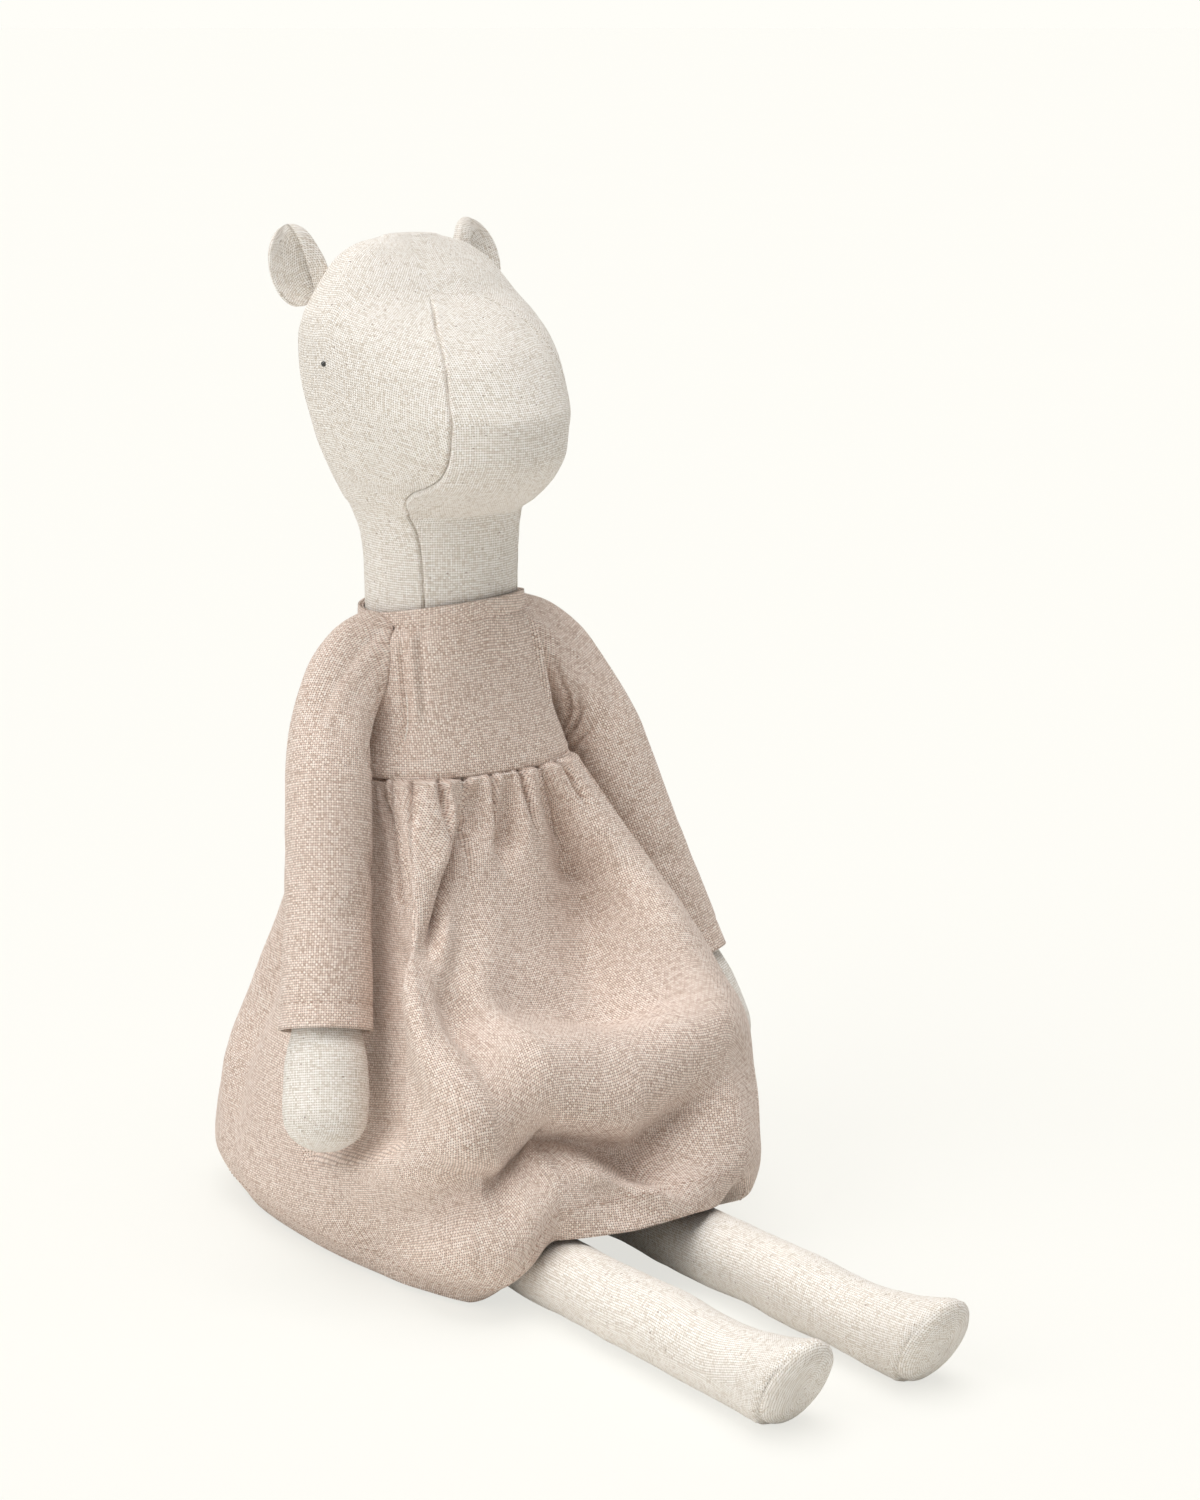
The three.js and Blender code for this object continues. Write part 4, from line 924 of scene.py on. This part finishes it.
def sleeve_grid():
    """The left sleeve from armhole to cuff, how far down each row is, and the sleeve without creases."""
    turn = full_turn(132)
    ahead, up = -np.cos(turn), np.sin(turn)
    y, z = ARMHOLE_Y - ARMHOLE_HALF_DEPTH * ahead, ARMHOLE_Z + ARMHOLE_HALF_HEIGHT * up
    first = np.stack([bodice_half_width(y, z) - 0.5, y, z], -1)
    share = np.linspace(0, 1, 90)
    size = smooth([(0, ARMHOLE_RADIUS), (0.5, CUFF_RADIUS - 1), (1, CUFF_RADIUS)])(share)
    rest = lean(arm_rings(CAP_LENGTH + share * (SLEEVE_LENGTH - CAP_LENGTH), size, size, turn))
    way = ARM_WAY @ FORWARDS
    slope = np.radians(60 - 60 * np.clip(up, 0, 1) ** 1.5 + 6 * np.clip(-up, 0, 1))[:, None]
    leaving = np.cos(slope) * X + np.sin(slope) * way
    steep = [bodice_half_width(y + dy, z + dz) - bodice_half_width(y - dy, z - dz)
             for dy, dz in ((0.5, 0), (0, 0.5))]
    out = unit(np.stack([1 + 0 * y, -steep[0], -steep[1]], -1))
    rise = np.clip((leaving * out).sum(-1), 0, 1) * 0.45 * ease(0.1, 0.8, ahead) * ease(-0.8, -0.1, up)
    leaving = leaving - out * rise[:, None]
    span = np.linalg.norm(rest[0] - first, axis=-1)[:, None]
    rows = []
    for t in np.linspace(0, 1, 34)[:-1]:
        start, end = 2 * t ** 3 - 3 * t ** 2 + 1, 3 * t ** 2 - 2 * t ** 3
        tangent = (t ** 3 - 2 * t ** 2 + t) * leaving + (t ** 3 - t ** 2) * way
        rows.append(start * first + end * rest[0] + tangent * span * 1.05)
    points = np.concatenate([np.array(rows), rest])
    down = arc_lengths(points, 0).mean(1)[:, None]
    degrees = np.degrees(turn)[None]
    amount = -0.3 * bump(down, 0, 0.8) + 0.3 * bump(down, 2.4, 1.6)
    for d0, s0, d1, s1, depth, width in SLEEVE_CREASES:
        share = np.clip((degrees - d0) / (d1 - d0), 0, 1)
        across = (down - (s0 + (s1 - s0) * share)) / width
        beyond = (degrees - np.clip(degrees, min(d0, d1), max(d0, d1))) * 0.22 / width
        fade = np.sin(np.pi * np.clip(share, 0.12, 0.88))
        amount = amount - depth * fade * np.exp(-across ** 2 - beyond ** 2)
    lumps = 0.55 * noise2(degrees * 0.2, down * 0.35, 14, 21) + 0.3 * noise(points, 9, 22)
    amount = amount + ease(4, 16, down) * lumps - 0.35 * bump(down, down.max() - CUFF_STITCHES, 0.6)
    return push(points, amount, True), down[:, 0], points


def sleeve_uv(points):
    loop = closed(points, 1)
    up, along = arc_lengths(loop[::-1], 0)[::-1], arc_lengths(loop, 1)
    outside = int(np.argmax(np.abs(points[60, :, 0])))
    return np.stack([along - along[:, outside:outside + 1], up], -1)


def make_arms():
    arm = arm_grid()
    sleeve, down, plain = sleeve_grid()
    hem = int(np.argmin(np.abs(down - (down.max() - CUFF_STITCHES))))
    pad_x, pad_bulge = np.linspace(*PAD_ENDS, 12), np.sqrt(1 - np.linspace(-0.9, 0.9, 12) ** 4)
    for side, sign, flip in SIDES:
        body = f"arm_{side}"
        limb = solid_object(body, flip(arm), SKIN)
        declare(limb, body, "natural_linen", f"arm_{side}_cover", f"arm_{side}_filling", fill=0.85)
        points = flip(sleeve)
        cloth = grid_object(f"sleeve_{side}_cloth", points, DRESS, wrap=True, uv=sleeve_uv(flip(plain)))
        lift = grid_normals(points, True)[hem]
        sewn = stitches(f"sleeve_{side}_hem_stitches", closed(points[hem]), closed(lift))
        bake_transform(cloth)
        declare(sewn, body, "dress_linen")
        thicken(cloth)
        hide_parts(f"sleeve_{side}")
        pad = tube_grid(SHOULDER + sign * pad_x[:, None] * X, PAD_RADIUS * pad_bulge, 24)
        pad = solid_object(f"shoulder_seam_{side}_pad", pad + 0.2 * noise(pad, 3, 9)[..., None], SKIN_THREAD)
        declare(pad, "torso", "seam_thread", f"shoulder_seam_{side}")


make_arms()

# Legs, with an oval sole sewn into each foot

SOLE_RISE = FOOT_HALF_HEIGHT * math.cos(FOOT_TILT) - HIP_Z
ANKLE, HEEL, NEAR_SOLE = LEG_LENGTH - 30, LEG_LENGTH - 14, LEG_LENGTH - 5
LEG_SEAM = math.radians(-62)
SOLE_FIT = 0.985  # the sole's size, as a share of the leg's end
FLOOR_GAP = 0.05


def leg_grid():
    r, length, toe = LEG_RADIUS, LEG_LENGTH, FOOT_HALF_HEIGHT
    tall = smooth([(1.4, 1.5), (8, 0.42 * r), (20, 0.88 * r), (34, r), (ANKLE, r), (HEEL, r + 0.3 * (toe - r)),
                   (NEAR_SOLE, r + 0.78 * (toe - r)), (length, toe)])
    wide = smooth([(1.4, r), (8, r + 0.4), (20, r + 0.4), (34, r), (ANKLE, r), (HEEL, 1.03 * r),
                   (NEAR_SOLE, 1.07 * r), (length, r)])
    rise, tilt = (smooth([(0, 0), (ANKLE, 0), (HEEL, low * most), (NEAR_SOLE, high * most), (length, most)])
                  for low, high, most in ((0.35, 0.75, SOLE_RISE), (0.4, 0.8, FOOT_TILT)))
    along = runs((1.4, 34, 34), (34, ANKLE, 70), np.linspace(ANKLE, length, 44))
    turn = full_turn(104)
    centre = np.stack([np.full(len(along), LEG_SPACING / 2), -HIP_AHEAD - along, HIP_Z + rise(along)], -1)
    up = np.stack([0 * along, -np.sin(tilt(along)), np.cos(tilt(along))], -1)
    points = rings(centre, turn, wide(along)[:, None] * X, tall(along)[:, None] * up)
    along = along[:, None]
    end = np.abs(along - length)
    amount = groove(apart(turn, LEG_SEAM) * r, 0.5, 0.6)[None] * puckers(along, 3, 17)
    amount = (amount - 0.9 * bump(end, 0, 0.7) + 0.4 * bump(end, 3, 2)) * ease(3, 12, along)
    amount = amount + ease(10, 30, along) * (0.55 * noise(points, 19, 14) + 0.16 * noise(points, 6, 15))
    rim = bump(end, 0, 3.2) * (0.3 * noise2(along * 0.2, np.degrees(turn)[None] * 0.3, 2.4, 18))
    return push(points, amount + rim, True), turn


def sole_grid(turn):
    up = np.array([0, -math.sin(FOOT_TILT), math.cos(FOOT_TILT)])
    way = np.array([0, -math.cos(FOOT_TILT), -math.sin(FOOT_TILT)])
    middle = np.array([LEG_SPACING / 2, -HIP_AHEAD - LEG_LENGTH, HIP_Z + SOLE_RISE])
    share = np.sin(np.linspace(1, 0.012, 34) * np.pi / 2)
    out = -0.5 + (SOLE_SET + SOLE_CROWN + 0.5) * np.sqrt(np.clip(1 - share ** 3.2, 0, 1))
    size = SOLE_FIT * share[:, None]
    points = rings(middle + way * out[:, None], turn, LEG_RADIUS * size * X, FOOT_HALF_HEIGHT * size * up)
    return points + way * (0.25 * noise(points, 7, 19) * (share < 0.97)[:, None])[..., None]


def make_legs():
    leg, turn = leg_grid()
    sole = sole_grid(turn)
    for points in (leg, sole):
        points[..., 2] = np.maximum(points[..., 2], FLOOR_GAP)
    for side, sign, flip in SIDES:
        body = f"leg_{side}"
        limb = solid_object(body, flip(leg), SKIN)
        foot = grid_object(f"foot_sole_{side}_panel", flip(sole), SKIN, wrap=True, ends=(False, True))
        declare(limb, body, "natural_linen", f"leg_{side}_cover", f"leg_{side}_filling", fill=0.85)
        declare(foot, body, "natural_linen", f"foot_sole_{side}", fill=0.9)
    span = LEG_SPACING / 2 + LEG_RADIUS
    x = np.linspace(-span, span, 90)
    path = x[:, None] * X - HIP_AHEAD * Y + HIP_Z * Z
    seam = solid_object("hip_seam_roll", tube_grid(path, 1.0 + 0.12 * np.sin(x * 2.1), 14), SKIN_THREAD)
    declare(seam, "lap", "seam_thread", "hip_seam")


make_legs()

# Bodice: a front and two backs, cut out round the shoulders, with a facing inside the neckline

# Upright creases beside the armholes: degrees round from the front, lowest and highest place, depth and width.
BODICE_CREASES = [(50, 148, 178, -1.7, 1.4), (43, 156, 181, 1.0, 2.0), (37, 160, 183, -1.0, 1.6),
                  (128, 150, 176, -1.2, 1.6)]
# The first and last turn in degrees of each panel, its columns and its flat size in metres
BODICE_PANELS = (("bodice_front", -90, 90, 170, (0.088, 0.056)),
                 ("bodice_back_left", 90, 179.6, 86, (0.046, 0.056)),
                 ("bodice_back_right", 180.4, 270, 86, (0.046, 0.056)))
NECK_STITCHES_Z = NECKLINE_Z - 5.2
HOLE_EDGE, HOLE_FROM_X = 0.94, 12  # the armhole's edge as a share of its size, and how far out it begins
FACING_ROOM, FACING_CLOTH = 1.15, 0.7


def neck_level(turn):
    """How much higher the neckline lies at each turn: highest in front, lowest at the doll's right."""
    return 3.6 * np.clip(np.cos(turn), 0, 1) + 1.3 * np.sin(turn) - 1.6


def bodice_grid(first, last, columns):
    """A panel's points, which of them to keep, its rows' heights before the neckline, and cloth coordinates."""
    z = runs((WAIST_Z - 0.4, 178, 56), np.linspace(178, NECKLINE_Z, 26))
    turn = np.radians(np.linspace(first, last, columns))
    zz = z[:, None] + 0 * turn[None]
    points = torso_points(np.minimum(zz, TORSO_HEIGHT), turn[None] + 0 * zz)
    points[..., :2] += unit(points[..., :2] - np.array([0, BODY_MIDDLE])) * bodice_room(zz)[..., None]
    points[..., 2] = zz
    uv = row_uv(points, False)
    amount = 0.25 * noise(points, 16, 31) * ease(WAIST_Z, WAIST_Z + 8, zz) + 0.35 * bump(zz, WAIST_Z + 1.6, 1.6)
    amount = amount - 0.32 * bump(zz, NECK_STITCHES_Z, 0.7) + 0.15 * bump(zz, NECKLINE_Z - 2.4, 1.6)
    for place, low, high, depth, wide in BODICE_CREASES:
        bent = place + 7 * ((zz - ARMHOLE_Z + 8) / 20) ** 2
        inside = ease(low - 6, low + 5, zz) * (1 - ease(high - 5, high + 6, zz))
        off = (np.abs(np.degrees(turn)[None]) - bent) * 0.5
        amount = amount + inside * depth * bump(off, 0, wide)
    points = push(points, amount, False)
    points[..., 2] += neck_level(turn)[None] * ease(172, NECKLINE_Z, zz)
    aside = (points[..., 1] - ARMHOLE_Y) / ARMHOLE_HALF_DEPTH
    hole = np.hypot(aside, (points[..., 2] - ARMHOLE_Z) / ARMHOLE_HALF_HEIGHT)
    return points, (hole > HOLE_EDGE) | (np.abs(points[..., 0]) < HOLE_FROM_X), z, uv


def make_bodice():
    for name, first, last, columns, flat in BODICE_PANELS:
        points, keep, z, uv = bodice_grid(first, last, columns)
        cloth = thicken(grid_object(f"{name}_cloth", points, DRESS, uv=uv, keep=keep))
        row = int(np.argmin(np.abs(z - NECK_STITCHES_Z)))
        lift = grid_normals(points, False)[row]
        sewn = stitches(f"{name}_neck_stitches", points[row], lift, 1.5, 1.0, 0.15)
        declare(cloth, "torso", "dress_linen", name)
        declare(sewn, "torso", "dress_linen")
    turn = np.radians(np.linspace(-179.3, 179.3, 220))
    z = np.linspace(TORSO_HEIGHT - 0.6, NECKLINE_Z - 0.2, 14)[:, None]
    level = np.full((len(z), len(turn)), TORSO_HEIGHT)
    points = torso_points(level, turn + 0 * level, FACING_ROOM)
    points[..., 2] = z + neck_level(turn)[None]
    facing = thicken(grid_object("neck_facing_cloth", points, DRESS), FACING_CLOTH)
    declare(facing, "torso", "dress_linen", "neck_facing")


make_bodice()

# Back closure: a button with two holes, its thread and a loop of cord

BUTTON_CENTRE = np.array([-4.3, NECK_RADIUS + BODY_MIDDLE + 2.2 + 0.35, NECKLINE_Z - 6])
BUTTON_PROFILE = [(0.02, 1.35), (2.3, 1.35), (2.75, 1.5), (3.1, 1.75), (3.5, 1.8), (3.8, 1.55), (4.0, 1.0),
                  (3.85, 0.4), (3.3, 0.05), (0.02, 0.0)]
HOLE_X, HOLE_RADIUS = 1.1, 0.55
LOOP_RADIUS, CORD_RADIUS = 4.8, 0.5


def turned_rows(profile, turn, x=0.0):
    """Rings about an axis along Y, beside the button's centre: (radius, height) for each."""
    radius, height = np.array(profile).T[..., None]
    return rings(BUTTON_CENTRE + x * X + height * Y, turn, radius * X, radius * Z)


def make_closure():
    turn = full_turn(64)
    button = solid_object("back_button_disc", turned_rows(BUTTON_PROFILE, turn), WOOD)
    for hole_x in (-HOLE_X, HOLE_X):
        drill = turned_rows([(HOLE_RADIUS, -1.0), (HOLE_RADIUS, 3.0)], turn[::4], hole_x)
        tool = solid_object("drill", drill, WOOD)
        cut = button.modifiers.new("hole", "BOOLEAN")
        cut.object = tool
        cut.operation = "DIFFERENCE"
        mesh = bpy.data.meshes.new_from_object(button.evaluated_get(bpy.context.evaluated_depsgraph_get()))
        button.modifiers.clear()
        button.data = mesh
        bpy.data.objects.remove(tool)
    t = np.linspace(0, np.pi, 24)
    strand = np.stack([HOLE_X * np.cos(t), 0.3 + 1.45 * np.sin(t) ** 0.5, 0 * t], -1)
    sewn = solid_object("back_button_thread", tube_grid(strand + BUTTON_CENTRE, 0.3, 10), SKIN_THREAD)
    t = np.radians(np.linspace(20, 340, 90))
    path = BUTTON_CENTRE + np.stack([LOOP_RADIUS * np.cos(t), 0.3 + 0 * t, LOOP_RADIUS * np.sin(t)], -1)
    cord = tube_grid(path, CORD_RADIUS + 0.05 * np.sin(np.arange(90) * 1.7))
    loop = solid_object("button_loop_cord", cord, DRESS_THREAD)
    declare(button, "torso", "button_wood", "back_button")
    declare(sewn, "torso", "seam_thread")
    declare(loop, "torso", "dress_linen", "button_loop")


make_closure()

# Skirt: gathered at the waist, then folds

# Each fold is a line of places (round, down) in thousandths, with its depth and width at the start and end:
# (places, first depth, last depth, first width, last width).
SKIRT_FOLDS = [
    ([(-170, 18), (-155, 133), (-151, 200), (-149, 260)], -6.5, -6.0, 2.2, 4.0),
    ([(-160, 302), (-156, 400), (-153, 497)], -3.5, -2.5, 4.5, 8.0),
    ([(-177, 113), (-181, 242), (-188, 435), (-183, 620)], 1.8, 1.8, 4.0, 6.0),
    ([(-147, 105), (-132, 223), (-130, 338), (-126, 435), (-123, 535), (-119, 598)], 3.0, 6.0, 5.0, 9.0),
    ([(-119, 598), (-133, 667), (-152, 738), (-169, 807)], 6.0, 4.0, 9.0, 11.0),
    ([(-57, 15), (-62, 122), (-72, 205), (-92, 253), (-116, 297)], -4.0, -15.0, 2.4, 7.5),
    ([(-35, 33), (-39, 155)], -7.0, -6.0, 2.4, 4.2),
    ([(-72, 88), (-83, 182), (-97, 230), (-124, 280)], 3.0, 4.5, 3.0, 4.5),
    ([(-64, 165), (-62, 273), (-68, 357), (-83, 398)], -4.5, -6.5, 7.0, 11.0),
    ([(8, 33), (-3, 160), (-14, 190)], -7.0, -6.0, 2.4, 4.0),
    ([(54, 33), (54, 92), (53, 165), (51, 240), (51, 292)], -7.0, -14.0, 2.6, 8.5),
    ([(50, 283), (36, 415), (18, 537)], -13.0, -6.0, 8.5, 9.0),
    ([(81, 77), (84, 175), (85, 300), (92, 395), (98, 480)], 2.0, 4.0, 6.0, 14.0),
    ([(20, 83), (10, 223), (-3, 380)], 1.5, 1.5, 8.0, 13.0),
    ([(-100, 355), (-92, 420), (-92, 485)], -4.0, -4.0, 7.0, 9.0),
    ([(-81, 445), (-35, 512), (13, 555), (53, 545)], -5.0, -5.0, 10.0, 10.0),
    ([(-91, 525), (-56, 603), (-1, 630), (52, 615), (106, 547)], 6.5, 6.5, 15.0, 15.0),
    ([(-177, 902), (-153, 795), (-128, 720), (-88, 703), (-60, 755), (-44, 765)], -8.0, -19.0, 10.0, 7.5),
    ([(-41, 772), (-16, 818), (6, 858), (27, 797), (55, 730), (92, 672)], -17.0, -9.0, 7.0, 11.0),
    ([(-51, 790), (-34, 848), (-8, 920), (14, 968)], 6.0, 6.0, 4.0, 4.5),
    ([(-164, 888), (-125, 833), (-66, 905)], 4.5, 4.5, 11.0, 11.0),
    ([(22, 948), (73, 950), (128, 850)], 4.5, 4.5, 11.0, 11.0),
]
# Where the cloth sags over its own valley: the places, how far down, and the width.
SKIRT_SAGS = [
    ([(-128, 640), (-88, 655), (-55, 705), (-20, 735), (12, 765), (35, 715), (62, 650)], 3.0, 11.0),
]
# Folds that lean over towards the doll's left: the places, how far they lean and how wide they are.
SKIRT_LEANS = [
    ([(-72, 88), (-83, 182), (-97, 230), (-124, 280)], 3.6, 5.0),
    ([(-125, 675), (-85, 672), (-57, 718)], 3.0, 5.0),
]
BACK_FOLDS = 11
# Pleats of the gathered waist: how many go round, then the range of their depth and of how far down they reach.
PLEATS = [(31, 4.2, 7.5, 0.14, 0.34), (62, 1.0, 1.8, 0.03, 0.08)]
SKIRT_COLUMNS = 680
TORSO_ROOM, LEG_ROOM, FLOOR_ROOM = 1.7, 1.1, 0.7
ARM_SOFT = 1.5  # how softly the cloth is held back beside an arm
HEM_STITCHES = 9.0  # from the hem up to its stitches


def thousandths(places):
    return [(s / 1000, d / 1000) for s, d in places]


def even(values, half, axis, mode):
    """Running mean along one axis, over the given number of neighbours on each side."""
    room = [(half, half) if k == axis else (0, 0) for k in range(2)]
    wide = np.pad(values, room, mode=mode)
    count = values.shape[axis]
    return sum(np.take(wide, np.arange(k, k + count), axis) for k in range(2 * half + 1)) / (2 * half + 1)


def skirt_grid():
    """Each column's share of the way round, the skirt's points and its cloth coordinates."""
    drop = runs((0, 0.03, 20), (0.03, 0.2, 44), np.linspace(0.2, 1, 110))[::-1]
    share = np.arange(SKIRT_COLUMNS) / SKIRT_COLUMNS - 0.5
    base = skirt_points(drop, share)
    sideways = np.roll(base, -1, 1) - np.roll(base, 1, 1)
    round_scale = np.linalg.norm(sideways, axis=-1) * len(share) / 2
    down_scale = np.linalg.norm(np.gradient(base, drop, axis=0), axis=-1)
    drop = drop[:, None]

    def fold(path, deep0, deep1, wide0, wide1):
        """How far one fold moves each point: depth and width change from the path's start to its end."""
        most = np.zeros(round_scale.shape)
        count = len(path) - 1
        for k in range(count):
            (s0, d0), (s1, d1) = path[k], path[k + 1]
            px, py = (share[None] - s0) * round_scale, (drop - d0) * down_scale
            wx, wy = (s1 - s0) * round_scale, (d1 - d0) * down_scale
            t = np.clip((px * wx + py * wy) / np.maximum(wx * wx + wy * wy, 1e-9), 0, 1)
            place = (k + t) / count
            width = wide0 + (wide1 - wide0) * place
            depth = abs(deep0) + (abs(deep1) - abs(deep0)) * place
            taper = np.minimum(1.0, 0.45 + 2.2 * np.minimum(place, 1 - place))
            away = (px - t * wx) ** 2 + (py - t * wy) ** 2
            most = np.maximum(most, depth * taper * np.exp(-away / width ** 2))
        return math.copysign(1, deep0) * most

    amount = 1.3 * ease(0.005, 0.03, drop) + np.zeros(base.shape[:2])
    pleats = np.zeros(amount.shape)
    random = np.random.default_rng(7)
    for count, shallow, deepest, shortest, longest in PLEATS:
        edges = (np.arange(count + 1) + np.append(random.uniform(-0.32, 0.32, count), 0)) / count - 0.5
        edges[0], edges[-1] = -0.5, 0.5
        deep, reach = random.uniform(shallow, deepest, count), random.uniform(shortest, longest, count)
        pleat = np.clip(np.searchsorted(edges, share, side="right") - 1, 0, count - 1)
        across = 2 * (share - edges[pleat]) / (edges[pleat + 1] - edges[pleat]) - 1
        low = reach[pleat][None]
        fade = ease(0.004, 0.02, drop) * (1 - ease(0.1 * low, low, drop))
        pleats += fade * deep[pleat] * (0.42 - np.abs(across) ** 4.2)
    beside = np.abs(share)
    pleats *= 1 - 0.6 * ease(0.08, 0.14, beside) * (1 - ease(0.3, 0.38, beside))
    for k in range(BACK_FOLDS):
        middle = 0.24 + 0.52 * (k + random.uniform(0.2, 0.8)) / BACK_FOLDS
        lean_by, depth = random.uniform(-0.02, 0.02), random.uniform(1.6, 3.4) * (1 if k % 2 else -1)
        half_way, end = random.uniform(0.4, 0.6), random.uniform(0.8, 1.0)
        path = [(middle - lean_by, 0.03), (middle, half_way), (middle + lean_by, end)]
        wide = random.uniform(7, 11)
        for turn_round in (0, -1):
            amount += fold([(s + turn_round, d) for s, d in path], depth, depth, 3.0, wide)
    for path, *sizes in SKIRT_FOLDS:
        amount += fold(thousandths(path), *sizes)
    broad = push(base, amount + 0.3 * pleats, True)
    amount += pleats + ease(0.03, 0.2, drop) * (0.8 * noise(base, 30, 41) + 0.35 * noise(base, 12, 42))
    points = push(base, amount, True)
    for path, far, width in SKIRT_LEANS:
        points += unit(sideways) * fold(thousandths(path), far, far, width, width)[..., None]
    for path, fall, width in SKIRT_SAGS:
        points[..., 2] -= fold(thousandths(path), fall, fall, width, width)
    front = SKIRT_COLUMNS // 2
    along, up = arc_lengths(closed(broad, 1), 1), arc_lengths(broad, 0)
    along = even(along - along[:, front:front + 1], 8, 0, "edge")
    up = even(up - up[-1:], 34, 1, "wrap")
    return share, settle(points), np.stack([along, closed(up, 1)], -1)


def settle(points):
    """Cloth kept clear of the torso, legs, arms and floor."""
    x, y, z = (points[..., k] for k in range(3))
    level = np.clip(z, 0, WAIST_Z)
    reach, power = torso_reach(y, level, TORSO_ROOM)
    inside = (np.abs(x) / (torso_side(level) + TORSO_ROOM)) ** power
    inside = inside + (np.abs(y - BODY_MIDDLE) / reach) ** power
    grow = np.where((inside < 1) & (z < WAIST_Z - 1.5), np.maximum(inside, 0.2) ** (-1 / power), 1.0)
    x, y = x * grow, BODY_MIDDLE + (y - BODY_MIDDLE) * grow
    side, rise = np.abs(x) - LEG_SPACING / 2, z - HIP_Z
    gap, need = np.hypot(side, rise), LEG_RADIUS + LEG_ROOM
    scale = np.where((gap < need) & (y < -HIP_AHEAD - 6), need / np.maximum(gap, 1.0), 1.0)
    x = np.sign(x) * (LEG_SPACING / 2 + side * scale)
    z = HIP_Z + rise * scale
    widest = np.maximum(room_beside_arm(y, z, CUFF_RADIUS + 0.5, 2.6), WAIST_SIDE + 1)
    over = np.clip((np.abs(x) - widest) / ARM_SOFT, -30, 30)
    x = x - np.sign(x) * ARM_SOFT * np.logaddexp(0, over)
    return np.stack([x, y, np.maximum(z, FLOOR_ROOM)], -1)


def make_skirt():
    share, points, uv = skirt_grid()
    skirt = grid_object("skirt", points, DRESS, wrap=True, uv=uv)
    row = np.argmax(arc_lengths(points, 0) >= HEM_STITCHES, axis=0)
    columns = np.arange(len(share))
    path, lift = points[row, columns], grid_normals(points, True)[row, columns]
    sewn = stitches("skirt_hem_stitches", closed(path), closed(lift))
    for piece in (skirt, sewn):
        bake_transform(piece)
    thicken(skirt)
    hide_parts("skirt_front", "skirt_back")


make_skirt()
